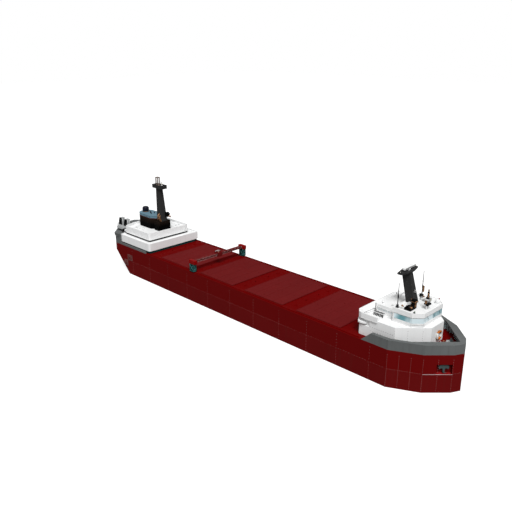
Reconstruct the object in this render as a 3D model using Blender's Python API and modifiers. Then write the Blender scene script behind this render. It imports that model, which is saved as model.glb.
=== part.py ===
"""A lake freighter as a 1:10 scale model: pilothouse forward, engine house aft, four holds between.

Metres, +Z up, +X towards the bow, +Y to port. The origin is the middle of the flat bottom.
The hull is laid out on a regular plating grid, and MODULE is one step of that grid.
Every other length below is in modules, and half outlines run along the port side.
"""
import math

import bmesh
import bpy
from mathutils import Matrix, Vector

MODULE = 0.075
GAP = 0.0003
EDGE = GAP / MODULE
BEYOND = 1.0

# Hull
HALF_LENGTH = 55.0
HALF_BEAM = 9.0
DECK = 8.0
BOW_PLAN = [(44.0, 9.0), (50.0, 6.0), (54.0, 2.0), (HALF_LENGTH, 0.0)]
STERN_PLAN = [(-54.76, 0.0), (-54.76, 2.24), (-48.0, 9.0)]
BOW_JOINT = 34.0
STERN_JOINT = -30.0
HOLD_HALF_WIDTH = 7.6
TANK_TOP = 0.8

# Counter, fin, shaft boss and rudder shoe
COUNTER_KNUCKLE = 6.0
COUNTER_FOOT = -42.0
COUNTER_AFT = -48.0
FIN_FRONT = -38.0
FIN_AFT = -47.2
FIN_HALF = 0.42
KEEL_CLEARANCE = 0.12
BOSS_FRONT = -44.5
BOSS_AFT = -47.6
BOSS_RADIUS = 0.62
SHAFT_HEIGHT = 2.6
SHOE = ((-51.2, -0.3, 0.14), (-46.0, 0.3, 0.42))

# Propeller and rudder
PROPELLER_X = -48.15
PROPELLER_AFT = -48.75
PROPELLER_RADIUS = 1.95
HUB_RADIUS = 0.48
SHAFT_CLEARANCE = 0.006
BLADES = 4
BLADE_RADII = (0.09, 0.72, 0.95)
BLADE_PITCH = 32.0
RUDDER_POST = -50.2
RUDDER_FRONT = -49.4
RUDDER_MIDDLE = -50.9
RUDDER_AFT = -53.3
RUDDER_HALF = 0.28
RUDDER_TRAILING = 0.05
RUDDER_LOW = 0.5
RUDDER_TOP = 5.7
STOCK_RADIUS = 0.26
STOCK_TOP = 7.2
BORE_GAP = 0.006

# Anchors and their pockets, on the second bow facet
POCKET_CENTRE = (52.85, 3.15)
POCKET_HALF = 1.5
POCKET_LOW = 4.0
POCKET_HIGH = 6.0
POCKET_DEPTH = 0.8
ANCHOR_THICK = 0.5
ANCHOR_HALF = [(0.0, -0.85), (0.17, -0.75), (0.22, 0.05), (0.62, 0.12), (0.78, -0.12), (0.95, 0.1)]
ANCHOR_HALF += [(0.95, 0.62), (0.45, 0.8), (0.0, 0.8)]

# Hatches and their covers
HATCH_HALF_WIDTH = 8.0
HATCHES = [(-28.0, -16.0), (-12.0, 0.0), (4.0, 16.0), (20.0, 32.0)]
HATCH_LAP = 0.3
COVER_THICK = 0.16
COVER_EDGE = 0.05

# Bulwarks
BOW_RAIL = 10.0
BOW_RAIL_FOOT = 37.8
BOW_RAIL_SHOULDER = 40.0
BOW_LIP_INNER = [(BOW_RAIL_SHOULDER, 8.25), (43.7, 8.15), (47.4, 6.45), (53.85, 0.0)]
PLATE = 0.3
LIP_THICK = 0.3
STERN_RAIL = 11.0
STERN_PLATE_END = -45.5
STERN_RAIL_END = -46.0
STERN_LIP = 1.6
STERN_FLARE = 0.24
STERN_BELT = 0.2
STERN_BELT_LOW = 10.2
STERN_STEP = 0.06
LOW_STRIP_TOP = 8.55
LOW_STRIP_END = -33.6

# Vent platforms on the quarters
PLATFORM_TOP = 12.0
PLATFORM_THICK = 0.28
PLATFORM_PLAN = [(-51.3, 3.6), (-51.3, 5.6), (-49.5, 7.4), (-47.2, 7.4), (-47.2, 3.6)]
PLATFORM_LEGS = [(-50.6, 3.8, DECK), (-48.9, 5.2, DECK), (-47.7, 5.0, 11.4)]
LEG_HALF = 0.13
TRUNK_FRONTS = (-49.9, -47.3)
TRUNK_SIDE = 5.35
TRUNK_LENGTH = 1.9
TRUNK_WIDTH = 1.05
TRUNK_RAKE = 0.75
TRUNK_HEIGHT = 2.1

# Aft house
AFT_FRONT = -32.2
AFT_SHOULDER = -45.9
AFT_HALF_WIDTH = 8.62
AFT_NOTCH = [(-48.3, 5.6), (-47.2, 6.9), (-45.0, 6.9)]
PLINTH_TOP = 8.8
PLINTH_INSET = 0.55
AFT_TIER_1 = 10.88
AFT_ROOF_1 = 10.5
UPPER_FRONT = -34.55
UPPER_AFT_PLAN = [(-47.15, 3.2), (-46.3, 6.0), (-45.7, 6.82)]
RECESS_TOP = 10.72
RECESS_DEPTH = 0.3
ANNEX = [(-48.1, 5.5), (-47.1, 6.5), (-45.7, 6.5)]
ANNEX_TOP = 11.4
AFT_TIER_2 = 12.95
AFT_ROOF_2 = 12.25
PARAPET_WALL = 0.22
CORNER_RADIUS = 0.62

# Funnel and aft mast
FUNNEL_BACK = -46.85
FUNNEL_SHOULDER = -40.2
FUNNEL_FRONT = -38.6
FUNNEL_HALF = 2.2
FUNNEL_FRONT_HALF = 1.0
CASING_TOP = 15.35
BAND_TOP = 16.0
BAND_INSET = 0.02
CAP_X = -45.3
CAP_RADIUS = 0.95
CAP_HEIGHT = 1.5
CAP_ROUND = 0.55
MAST_HOUSE_FRONT = -36.5
MAST_HOUSE_HALF = 2.0
MAST_HOUSE_TOP = 14.8
AFT_MAST_BASE = (-38.5, -36.55, -1.0, 1.0)
AFT_MAST_TIP = (-39.1, -37.25, -0.48, 0.48)
AFT_MAST_HEAD = 24.05
AFT_PLATFORM = ((-40.1, -1.0), (-35.9, 1.0))
AFT_PLATFORM_THICK = 0.65
LANTERN_X = -38.7
LANTERN_HALF = 0.34
LANTERN_POST = 0.12
LANTERN_FOOT = 0.5
LANTERN_HEIGHT = 2.4
LANTERN_LID = 0.2

# Forward house, with its ledge, after gallery and bridge deck
FORE_BACK = 36.0
FORE_TOP = 11.95
FORE_PLAN = [(FORE_BACK, 7.15), (44.1, 7.15), (49.05, 2.25)]
LEDGE_TOP = 10.2
CORNER_CUT = [(35.0, 4.6), (36.05, 4.6), (36.3, 6.4), (38.94, 7.3), (38.94, 8.5), (35.0, 8.5)]
PORCH_PLAN = [(35.05, 6.3), (35.9, 7.5), (36.6, 7.6), (37.6, 7.3)]
PORCH_LOW = 10.6
PORCH_TOP = 10.92
BRIDGE_DECK_PLAN = [(35.05, 6.1), (35.75, 7.1), (36.5, 7.4), (40.2, 7.4)]
BRIDGE_DECK_LOW = 11.65
BRIDGE_DECK_RAIL = 12.8
WELL_PLAN = [(35.35, 5.9), (35.95, 6.83), (36.6, 7.15), (40.5, 7.15)]
WELL_SHRINK = (0.64, 0.79)

# Pilothouse and chart room
BRIDGE_PLAN = [(42.0, 4.9), (46.15, 4.9), (47.8, 3.4)]
BRIDGE_WALL = 0.28
BRIDGE_FLOOR = 0.3
BRIDGE_TOP = 13.98
SILL = 12.82
WINDOW_TOP = 13.84
WINDOW_FROM = 42.28
WINDOW_POST = 0.035
WINDOW_COUNTS = (3, 1, 3)
GLASS_THICK = 0.08
GLASS_LAP = 0.12
ROOF_TOP = 14.9
ROOF_OVERHANG = 0.12
ROOF_RIM = 0.25
ROOF_SINK = 0.15
CHART_BACK = 37.45
CHART_HALF = 3.6
CHART_TOP = 13.8
CHART_CEILING = 0.25
DOOR_X = (38.2, 39.7)
DOOR_TOP = 13.4
DOOR_GAP = 0.1
DOOR_THICK = 0.16
HINGE_REACH = 0.06
HINGE_RADIUS = 0.05
HINGE_HALF = 0.12
HINGE_SHARES = (0.2, 0.8)
CONSOLE = (45.3, 46.4, 1.6, 1.2)

# Forward mast and the fittings of the bridge roof
FORE_MAST_BASE = (42.22, 44.0, -0.85, 0.85)
FORE_MAST_TIP = (40.45, 42.35, -0.5, 0.5)
FORE_MAST_HEAD = 20.85
WING_HALF = [(40.5, 0.0), (40.6, 0.7), (41.1, 3.0), (42.0, 3.0), (42.6, 0.7), (42.6, 0.0)]
WING_THICK = 0.3
RADAR_X = 41.75
PEDESTAL_RADIUS = 0.3
PEDESTAL_HEIGHT = 0.32
SCANNER = (0.28, 1.85, 0.5)
WHIPS = (("whip_aerial_starboard", 42.42, -4.15, 19.7), ("whip_aerial_port", 43.0, 3.7, 20.3))
WHIP_RADIUS = 0.1
WHIP_FOOT = (0.25, 0.5)
LIGHT_X = 46.95
LIGHT_Y = -0.95
LIGHT_TOP = 18.8
LIGHT_TABLE = 15.85
LIGHT_LEG_Y = 0.3
DOME = (46.9, 3.0, 0.5, 0.85)
SIGNAL_BANK = ((43.9, -4.2), (45.3, -2.5), 0.45)
SIGNAL_LOCKER = ((44.5, -2.75), (45.25, -1.95), 1.8)

# Deck fittings
LIFE_RING_Y = 0.4
LIFE_RING_Z = 9.6
LIFE_RING_MAJOR = 0.78
LIFE_RING_MINOR = 0.2
LIFE_RING_STAND_OFF = 0.192
WINDLASS_X = 51.0
WINDLASS_HALF_LENGTH = 0.6
WINDLASS_HALF_WIDTH = 1.15
WINDLASS_BED = 0.25
DRUM_HEIGHT = 0.62
DRUM_RADIUS = 0.3
CHEEK_Y = 0.7
CHEEK_HALF = (0.26, 0.1)
CHEEK_TOP = 1.0
SKYLIGHT = ((37.65, -5.1), (40.05, -4.4), 0.75)
SKYLIGHT_PANES = 5
RAIL_HALF = 0.12
RAIL_ENDS = (-31.9, 37.0)

# Hatch crane
CRANE_X = -13.85
CRANE_Y = 8.55
CRANE_FOOT = 8.12
CRANE_LEG_TOP = 10.1
LEG_LENGTH = 0.72
LEG_IN = 0.42
LEG_OUT = 0.45
BRACE_INSET = 0.16
BRACE_LOW = 0.25
BRACE_TOP = 0.18
BRACE_WIDTH = 0.1
CAP_LENGTH = 1.12
CAP_IN = 0.5
CRANE_CAP_TOP = 11.1
BEAM_HALF = 0.35
BEAM_LOW = 10.35
BEAM_TOP = 10.95
BEAM_CHORD = 0.13
BEAM_BAYS = 10
BAY_POST = 0.16
TROLLEY_LENGTH = 0.75
TROLLEY_HALF = 0.7
TROLLEY_HANG = 0.2
TROLLEY_CROWN = 0.3
TROLLEY_ROOM = 0.08
TROLLEY_SLOT = 0.2


def new_collection(name):
    collection = bpy.data.collections.new(name)
    bpy.context.scene.collection.children.link(collection)
    return collection


def clear_scene():
    for old in list(bpy.data.objects):
        bpy.data.objects.remove(old, do_unlink=True)


clear_scene()
SHIP = new_collection("lake_freighter")
CUTTERS = new_collection("cutters")


def paint(name, colour, roughness, metallic=0.0):
    material = bpy.data.materials.new(name)
    material.use_nodes = True
    shader = material.node_tree.nodes["Principled BSDF"]
    shader.inputs["Base Color"].default_value = (*colour, 1.0)
    shader.inputs["Roughness"].default_value = roughness
    shader.inputs["Metallic"].default_value = metallic
    material.diffuse_color = (*colour, 1.0)
    return material


HULL_RED = paint("hull_red", (0.16, 0.01, 0.012), 0.5)
HATCH_RED = paint("hatch_red", (0.18, 0.02, 0.02), 0.5)
BULWARK_GREY = paint("bulwark_grey", (0.14, 0.15, 0.15), 0.5)
HOUSE_WHITE = paint("house_white", (0.85, 0.86, 0.86), 0.45)
PLINTH_GREEN = paint("plinth_dark", (0.02, 0.035, 0.035), 0.6)
BLACK = paint("black_paint", (0.02, 0.02, 0.02), 0.5)
MAST_BLACK = paint("mast_black", (0.035, 0.036, 0.038), 0.5)
BAND_BLUE = paint("band_blue", (0.13, 0.22, 0.28), 0.45)
CRANE_GREY = paint("crane_grey", (0.08, 0.12, 0.12), 0.5)
GLASS = paint("window_glass", (0.35, 0.5, 0.56), 0.08)
BRONZE = paint("bronze", (0.45, 0.25, 0.1), 0.35, 1.0)
STEEL = paint("dark_steel", (0.09, 0.09, 0.095), 0.45, 0.6)
RING_ORANGE = paint("ring_orange", (0.75, 0.2, 0.03), 0.5)


def keep(obj, name, material, collection=None):
    """Name an object, give it its material and file it in its collection."""
    obj.name = name
    obj.data.name = name
    if material is not None:
        obj.data.materials.clear()
        obj.data.materials.append(material)
    for holder in list(obj.users_collection):
        holder.objects.unlink(obj)
    (collection or SHIP).objects.link(obj)
    return obj


def apply_scale(obj, scale):
    obj.data.transform(Matrix.Diagonal((*scale, 1.0)))
    return obj


def block(name, material, low, high, collection=None):
    """A box between two corners given in modules."""
    size = [(b - a) * MODULE for a, b in zip(low, high)]
    centre = [(a + b) / 2 * MODULE for a, b in zip(low, high)]
    bpy.ops.mesh.primitive_cube_add(size=1.0, location=centre)
    return keep(apply_scale(bpy.context.object, size), name, material, collection)


def rod(name, material, start, end, radius, sides=24, collection=None, tip=None):
    """A cylinder, or a cone with a tip radius, between two points given in modules."""
    start, end = Vector(start) * MODULE, Vector(end) * MODULE
    along = end - start
    bpy.ops.mesh.primitive_cone_add(
        vertices=sides,
        radius1=radius * MODULE,
        radius2=(radius if tip is None else tip) * MODULE,
        depth=along.length,
        location=(start + end) / 2,
        rotation=along.to_track_quat("Z", "Y").to_euler(),
    )
    return keep(bpy.context.object, name, material, collection)


def ball(name, centre, radii, segments=16, rings=12):
    """An ellipsoid for a boolean, round a point given in modules."""
    bpy.ops.mesh.primitive_uv_sphere_add(
        radius=1.0, segments=segments, ring_count=rings, location=Vector(centre) * MODULE
    )
    return keep(apply_scale(bpy.context.object, [r * MODULE for r in radii]), name, None, CUTTERS)


def solid_from(guide, name):
    """Turn a curve object into a welded mesh object in the same place."""
    evaluated = guide.evaluated_get(bpy.context.evaluated_depsgraph_get())
    mesh = bpy.data.meshes.new_from_object(evaluated)
    shape = bmesh.new()
    shape.from_mesh(mesh)
    bmesh.ops.remove_doubles(shape, verts=shape.verts, dist=0.00001)
    bmesh.ops.recalc_face_normals(shape, faces=shape.faces)
    shape.to_mesh(mesh)
    shape.free()
    obj = bpy.data.objects.new(name, mesh)
    obj.matrix_world = guide.matrix_world.copy()
    bpy.data.objects.remove(guide, do_unlink=True)
    return obj


def slab(name, material, outline, low, high, collection=None):
    """An upright prism: an outline in plan, filled and extruded between two heights."""
    curve = bpy.data.curves.new(name, "CURVE")
    curve.dimensions = "2D"
    curve.fill_mode = "BOTH"
    curve.extrude = (high - low) / 2 * MODULE
    spline = curve.splines.new("POLY")
    spline.points.add(len(outline) - 1)
    for point, (x, y) in zip(spline.points, outline):
        point.co = (x * MODULE, y * MODULE, 0.0, 1.0)
    spline.use_cyclic_u = True
    guide = bpy.data.objects.new(name + "_guide", curve)
    guide.location.z = (low + high) / 2 * MODULE
    CUTTERS.objects.link(guide)
    bpy.context.view_layer.update()
    return keep(solid_from(guide, name), name, material, collection)


def side_slab(name, material, profile, low_y, high_y, collection=None):
    """A prism across the ship: a profile in X and Z, extruded between two values of Y."""
    obj = slab(name, material, profile, *sorted((low_y, high_y)), collection)
    obj.data.transform(obj.matrix_world)
    obj.matrix_world = Matrix.Identity(4)
    obj.data.transform(Matrix(((1, 0, 0, 0), (0, 0, 1, 0), (0, 1, 0, 0), (0, 0, 0, 1))))
    obj.data.flip_normals()
    return obj


def tapered(name, material, base, top, heights, collection=None):
    """A box whose base and top are rectangles (x0, x1, y0, y1) at two heights."""
    bpy.ops.mesh.primitive_cube_add(size=2.0)
    obj = bpy.context.object
    for vertex in obj.data.vertices:
        upper = vertex.co.z > 0
        x0, x1, y0, y1 = top if upper else base
        vertex.co.x = (x1 if vertex.co.x > 0 else x0) * MODULE
        vertex.co.y = (y1 if vertex.co.y > 0 else y0) * MODULE
        vertex.co.z = heights[upper] * MODULE
    return keep(obj, name, material, collection)


def combine(obj, other, how):
    """Cut or join with another object, which stays in the cutters collection."""
    for holder in list(other.users_collection):
        holder.objects.unlink(other)
    CUTTERS.objects.link(other)
    other.hide_render = True
    other.display_type = "WIRE"
    boolean = obj.modifiers.new(how.lower(), "BOOLEAN")
    boolean.operation = how
    boolean.object = other
    return obj


def cut(obj, *others):
    for other in others:
        combine(obj, other, "DIFFERENCE")
    return obj


def join(obj, *others):
    for other in others:
        combine(obj, other, "UNION")
    return obj


def round_off(obj, width, segments=3, angle=50.0):
    bevel = obj.modifiers.new("bevel", "BEVEL")
    bevel.width = width * MODULE
    bevel.segments = segments
    bevel.limit_method = "ANGLE"
    bevel.angle_limit = math.radians(angle)
    return obj


def placed(obj, frame):
    """Move a shape that was made round the world origin into a frame, which may be a mirror image."""
    obj.data.transform(frame @ obj.matrix_world)
    obj.matrix_world = Matrix.Identity(4)
    if frame.determinant() < 0:
        obj.data.flip_normals()
    return obj


def arc(start, end, steps):
    return [math.radians(start + (end - start) * step / steps) for step in range(steps + 1)]


def mirrored(half):
    """The whole outline from its port half, listed from aft to forward."""
    return [(x, -y) for x, y in half] + [(x, y) for x, y in reversed(half) if y != 0.0]


def on_side(outline, side):
    return [(x, side * y) for x, y in outline]


def inset(half, by):
    """A port half outline, listed from aft to forward, moved inboard by a fixed plate width."""
    moved = []
    for index, (x, y) in enumerate(half):
        normals = []
        for a, b in ((index - 1, index), (index, index + 1)):
            if 0 <= a and b < len(half):
                step = Vector((half[b][0] - half[a][0], half[b][1] - half[a][1])).normalized()
                normals.append(Vector((step.y, -step.x)))
        if y == 0.0:
            normals.append(Vector((normals[0].x, -normals[0].y)))
        mean = sum(normals, Vector((0.0, 0.0))).normalized()
        reach = by / mean.dot(normals[0])
        moved.append((x + mean.x * reach, 0.0 if y == 0.0 else y + mean.y * reach))
    return moved


def inset_loop(half, by):
    """A half outline with flat ends, moved inboard all round, its ends included."""
    moved = inset(half, by)
    first, last = half[0], half[-1]
    moved[0] = (first[0] + by, moved[0][1])
    slope = (moved[-1][1] - moved[-2][1]) / (moved[-1][0] - moved[-2][0])
    moved[-1] = (last[0] - by, moved[-1][1] + slope * (last[0] - by - moved[-1][0]))
    return moved


def rounded_box(x0, x1, half_width, radius, steps=4):
    """A plan rectangle with rounded corners."""
    outline = []
    for sx, sy, turn in ((1, -1, -90), (1, 1, 0), (-1, 1, 90), (-1, -1, 180)):
        cx = (x1 - radius) if sx > 0 else (x0 + radius)
        cy = sy * (half_width - radius)
        for angle in arc(turn, turn + 90.0, steps):
            outline.append((cx + radius * math.cos(angle), cy + radius * math.sin(angle)))
    return outline


def band(outer, inner):
    """A horseshoe outline between two half outlines that both meet the centreline at one end."""
    sides = []
    for half in (outer, inner):
        flip = [(x, -y) for x, y in half if y != 0.0]
        closed_forward = half[-1][1] == 0.0
        sides.append(flip + list(reversed(half)) if closed_forward else flip[::-1] + half)
    return sides[0] + list(reversed(sides[1]))


def make_hull():
    bow = slab("hull_bow", HULL_RED, mirrored([(BOW_JOINT, HALF_BEAM)] + BOW_PLAN), 0.0, DECK)
    for side in (-1, 1):
        cut(bow, anchor_pocket(side))
    make_stern()
    for side, name in ((-1, "starboard"), (1, "port")):
        inner, outer = sorted((side * HOLD_HALF_WIDTH, side * HALF_BEAM))
        low, high = (STERN_JOINT + EDGE, inner, 0.0), (BOW_JOINT - EDGE, outer, DECK)
        block("hull_side_" + name, HULL_RED, low, high)
    inside = HOLD_HALF_WIDTH - EDGE
    low, high = (STERN_JOINT + EDGE, -inside, 0.0), (BOW_JOINT - EDGE, inside, TANK_TOP)
    block("hull_bottom", HULL_RED, low, high)
    starts = [STERN_JOINT + EDGE] + [after - HATCH_LAP for _, after in HATCHES]
    ends = [before + HATCH_LAP for before, _ in HATCHES] + [BOW_JOINT - EDGE]
    for number, (start, end) in enumerate(zip(starts, ends), start=1):
        low, high = (start, -inside, TANK_TOP + EDGE), (end, inside, DECK)
        block(f"cross_deck_{number}", HULL_RED, low, high)


def make_stern():
    """The engine-room end: square counter, run up from the flat bottom, fin, shaft boss and shoe."""
    stern = slab("hull_stern", HULL_RED, mirrored(STERN_PLAN + [(STERN_JOINT, HALF_BEAM)]), 0.0, DECK)
    run = COUNTER_KNUCKLE / (COUNTER_AFT - COUNTER_FOOT)
    far = -HALF_LENGTH - BEYOND
    below = [(COUNTER_FOOT - BEYOND / run, -BEYOND), (COUNTER_AFT, COUNTER_KNUCKLE)]
    below += [(far, COUNTER_KNUCKLE), (far, -BEYOND)]
    reach = HALF_BEAM + BEYOND
    cut(stern, side_slab("counter_cutter", None, below, -reach, reach, CUTTERS))
    top = COUNTER_KNUCKLE + BEYOND / 2
    fin = [(FIN_FRONT, KEEL_CLEARANCE), (FIN_AFT, KEEL_CLEARANCE), (FIN_AFT, top), (BOSS_FRONT, top)]
    join(stern, side_slab("fin_part", None, fin, -FIN_HALF, FIN_HALF, CUTTERS))
    boss = ((BOSS_FRONT, 0.0, SHAFT_HEIGHT), (BOSS_AFT, 0.0, SHAFT_HEIGHT))
    join(stern, rod("boss_part", None, *boss, BOSS_RADIUS, collection=CUTTERS))
    join(stern, block("shoe_part", None, *SHOE, CUTTERS))
    bore = ((RUDDER_POST, 0.0, COUNTER_KNUCKLE - BEYOND), (RUDDER_POST, 0.0, STOCK_TOP + 0.1))
    cut(stern, rod("stock_bore_cutter", None, *bore, STOCK_RADIUS + BORE_GAP, collection=CUTTERS))


def facet_frame(side):
    """A frame on the second bow facet: X along it, Y outboard, Z up, in metres."""
    aft, fore = Vector((*BOW_PLAN[1], 0.0)), Vector((*BOW_PLAN[2], 0.0))
    along = (fore - aft).normalized()
    outward = Vector((-along.y, along.x, 0.0))
    frame = Matrix.Identity(4)
    for column, axis in enumerate((along, outward, Vector((0.0, 0.0, 1.0)))):
        frame.col[column] = (*axis, 0.0)
    frame.translation = Vector((*POCKET_CENTRE, (POCKET_LOW + POCKET_HIGH) / 2)) * MODULE
    if side < 0:
        frame = Matrix.Diagonal((1.0, -1.0, 1.0, 1.0)) @ frame
    return frame


def anchor_pocket(side):
    half_height = (POCKET_HIGH - POCKET_LOW) / 2
    low, high = (-POCKET_HALF, -POCKET_DEPTH, -half_height), (POCKET_HALF, BEYOND, half_height)
    return placed(block(f"pocket_cutter_{side}", None, low, high, CUTTERS), facet_frame(side))


def make_anchor(side, name):
    """A stockless anchor, stowed against the back of its pocket: flukes up, shank down."""
    outline = ANCHOR_HALF + [(-x, z) for x, z in reversed(ANCHOR_HALF) if x != 0.0]
    back = -POCKET_DEPTH + EDGE
    anchor = side_slab(name, STEEL, outline, back, back + ANCHOR_THICK)
    placed(anchor, facet_frame(side))


def make_bow_bulwark():
    """A bulwark round the bow, rising up a slope at its after ends, with a wide lip."""
    outer = [(BOW_RAIL_FOOT, HALF_BEAM)] + BOW_PLAN
    rail = slab("bow_bulwark", BULWARK_GREY, band(outer, inset(outer, PLATE)), DECK + EDGE, BOW_RAIL)
    lip = band([(BOW_RAIL_SHOULDER, HALF_BEAM)] + BOW_PLAN, BOW_LIP_INNER)
    join(rail, slab("bow_lip_part", None, lip, BOW_RAIL - LIP_THICK, BOW_RAIL, CUTTERS))
    rise = (BOW_RAIL - DECK) / (BOW_RAIL_SHOULDER - BOW_RAIL_FOOT)
    ramp = [(BOW_RAIL_FOOT - BEYOND / rise, DECK - BEYOND)]
    ramp += [(BOW_RAIL_SHOULDER + BEYOND / rise, BOW_RAIL + BEYOND)]
    ramp += [(ramp[0][0] - BEYOND, BOW_RAIL + BEYOND), (ramp[0][0] - BEYOND, DECK - BEYOND)]
    reach = HALF_BEAM + BEYOND
    cut(rail, side_slab("ramp_cutter", None, ramp, -reach, reach, CUTTERS))


def stern_band(end, outer_by, inner_by):
    """A horseshoe round the fantail between two plate widths, up to a given X on both quarters."""
    half = STERN_PLAN + [(end, HALF_BEAM)]
    return band(inset(half, outer_by), inset(half, inner_by))


def make_stern_bulwark():
    """A bulwark round the fantail with a flared belt, a wide lip and a low strip along each quarter."""
    bottom, top = DECK + EDGE, STERN_RAIL - LIP_THICK / 2
    rail = slab("stern_bulwark", BULWARK_GREY, stern_band(STERN_PLATE_END, 0.0, PLATE), bottom, top)
    strips = stern_band(LOW_STRIP_END, 0.0, PLATE)
    join(rail, slab("stern_strip_part", None, strips, bottom, LOW_STRIP_TOP, CUTTERS))
    belt = stern_band(STERN_RAIL_END - STERN_STEP, -STERN_BELT, PLATE / 2)
    join(rail, slab("stern_belt_part", None, belt, STERN_BELT_LOW, STERN_RAIL - LIP_THICK / 3, CUTTERS))
    lip = stern_band(STERN_RAIL_END + STERN_STEP, -STERN_FLARE, STERN_LIP)
    join(rail, slab("stern_lip_part", None, lip, STERN_RAIL - LIP_THICK, STERN_RAIL, CUTTERS))


def make_vent_platform(side, name):
    """A small deck over the quarter, on legs, with two raked ventilator trunks in line."""
    low = PLATFORM_TOP - PLATFORM_THICK
    deck = slab(name, HOUSE_WHITE, on_side(PLATFORM_PLAN, side), low, PLATFORM_TOP)
    for index, (x, y, stand) in enumerate(PLATFORM_LEGS):
        foot = (x - LEG_HALF, side * y - LEG_HALF, stand + EDGE)
        head = (x + LEG_HALF, side * y + LEG_HALF, PLATFORM_TOP - PLATFORM_THICK / 2)
        join(deck, block(f"{name}_leg_part_{index}", None, foot, head, CUTTERS))
    for index, front in enumerate(TRUNK_FRONTS):
        y0, y1 = sorted((side * TRUNK_SIDE, side * (TRUNK_SIDE - TRUNK_WIDTH)))
        base = (front - TRUNK_LENGTH, front, y0, y1)
        top = (front - TRUNK_LENGTH + TRUNK_RAKE, front, y0, y1)
        heights = (PLATFORM_TOP - PLATFORM_THICK / 2, PLATFORM_TOP + TRUNK_HEIGHT)
        join(deck, tapered(f"{name}_trunk_part_{index}", None, base, top, heights, CUTTERS))


def make_aft_house():
    span = (AFT_SHOULDER + PLINTH_INSET, AFT_FRONT - PLINTH_INSET)
    plinth = rounded_box(*span, AFT_HALF_WIDTH - PLINTH_INSET, PLINTH_INSET)
    slab("aft_house_plinth", PLINTH_GREEN, plinth, DECK + EDGE, PLINTH_TOP)
    make_aft_lower()
    make_aft_upper()


def tier(after, front, by=0.0):
    """A deckhouse tier in plan: given points aft, straight sides and rounded forward corners."""
    radius = CORNER_RADIUS
    half_width = after[-1][1]
    straight_end = (front - radius, half_width)
    side = inset(after + [straight_end], by)[:-1]
    side[0] = (after[0][0] + by, side[0][1])
    corner = []
    for angle in arc(0.0, 90.0, 4):
        x = front - radius + (radius - by) * math.sin(angle)
        corner.append((x, half_width - radius + (radius - by) * math.cos(angle)))
    return mirrored(side + corner)


def make_aft_lower():
    """The lower tier: full width forward of the bulwark, narrower between its two arms."""
    low = PLINTH_TOP + EDGE
    after = [(AFT_SHOULDER, AFT_HALF_WIDTH)]
    house = slab("aft_house_lower", HOUSE_WHITE, tier(after, AFT_FRONT), low, AFT_TIER_1)
    join(house, slab("aft_notch_part", None, mirrored(AFT_NOTCH), low, AFT_ROOF_1, CUTTERS))
    hollow = tier(after, AFT_FRONT, PARAPET_WALL)
    cut(house, slab("aft_lower_roof_cutter", None, hollow, AFT_ROOF_1, AFT_TIER_1 + BEYOND, CUTTERS))
    opening = slab("opening_cutter", None, mirrored(AFT_NOTCH), AFT_ROOF_1, AFT_TIER_1 + BEYOND, CUTTERS)
    cut(house, opening)


def make_aft_upper():
    """The upper tier, on a recessed foot, with a sunken roof inside its parapet and a low annex aft."""
    outline = tier(UPPER_AFT_PLAN, UPPER_FRONT)
    house = slab("aft_house_upper", HOUSE_WHITE, outline, RECESS_TOP, AFT_TIER_2)
    foot = tier(UPPER_AFT_PLAN, UPPER_FRONT, RECESS_DEPTH)
    roof, overlap = AFT_ROOF_1 + EDGE, RECESS_TOP + RECESS_DEPTH
    join(house, slab("aft_foot_part", None, foot, roof, overlap, CUTTERS))
    join(house, slab("annex_part", None, mirrored(ANNEX), roof, ANNEX_TOP, CUTTERS))
    hollow = tier(UPPER_AFT_PLAN, UPPER_FRONT, PARAPET_WALL)
    cut(house, slab("aft_upper_roof_cutter", None, hollow, AFT_ROOF_2, AFT_TIER_2 + BEYOND, CUTTERS))


def funnel_outline(by=0.0):
    """The funnel in plan: half round aft, straight sides, narrower at its front."""
    half = FUNNEL_HALF - by
    centre = FUNNEL_BACK + FUNNEL_HALF
    points = [(centre - half * math.cos(a), half * math.sin(a)) for a in arc(0.0, 90.0, 8)]
    points[0] = (points[0][0], 0.0)
    return points + [(FUNNEL_SHOULDER, half), (FUNNEL_FRONT - by, FUNNEL_FRONT_HALF - by)]


def make_funnel():
    roof = AFT_ROOF_2 + EDGE
    slab("funnel_casing", BLACK, mirrored(funnel_outline()), roof, CASING_TOP)
    slab("funnel_band", BAND_BLUE, mirrored(funnel_outline(BAND_INSET)), CASING_TOP + EDGE, BAND_TOP)
    ends = ((CAP_X, 0.0, BAND_TOP + EDGE), (CAP_X, 0.0, BAND_TOP + CAP_HEIGHT))
    round_off(rod("exhaust_cap", STEEL, *ends, CAP_RADIUS), CAP_ROUND)
    low = (FUNNEL_FRONT + EDGE, -MAST_HOUSE_HALF, roof)
    block("mast_house", BLACK, low, (MAST_HOUSE_FRONT, MAST_HOUSE_HALF, MAST_HOUSE_TOP))


def make_aft_mast():
    heights = (MAST_HOUSE_TOP + EDGE, AFT_MAST_HEAD)
    tapered("aft_mast", MAST_BLACK, AFT_MAST_BASE, AFT_MAST_TIP, heights)
    low, high = AFT_PLATFORM
    top = AFT_MAST_HEAD + AFT_PLATFORM_THICK
    head = block("aft_mast_head", MAST_BLACK, (*low, AFT_MAST_HEAD + EDGE), (*high, top))
    round_off(head, 0.08, 2)
    foot, half, post = top + EDGE, LANTERN_HALF, LANTERN_POST
    low, high = (LANTERN_X - half, -half, foot), (LANTERN_X + half, half, foot + LANTERN_HEIGHT)
    lantern = block("aft_lantern_frame", BRONZE, low, high)
    window = (foot + LANTERN_FOOT, foot + LANTERN_HEIGHT - LANTERN_LID)
    bare = half - post
    low, high = (LANTERN_X - BEYOND, -bare, window[0]), (LANTERN_X + BEYOND, bare, window[1])
    cut(lantern, block("lantern_cutter_x", None, low, high, CUTTERS))
    low, high = (LANTERN_X - bare, -BEYOND, window[0]), (LANTERN_X + bare, BEYOND, window[1])
    cut(lantern, block("lantern_cutter_y", None, low, high, CUTTERS))


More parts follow.
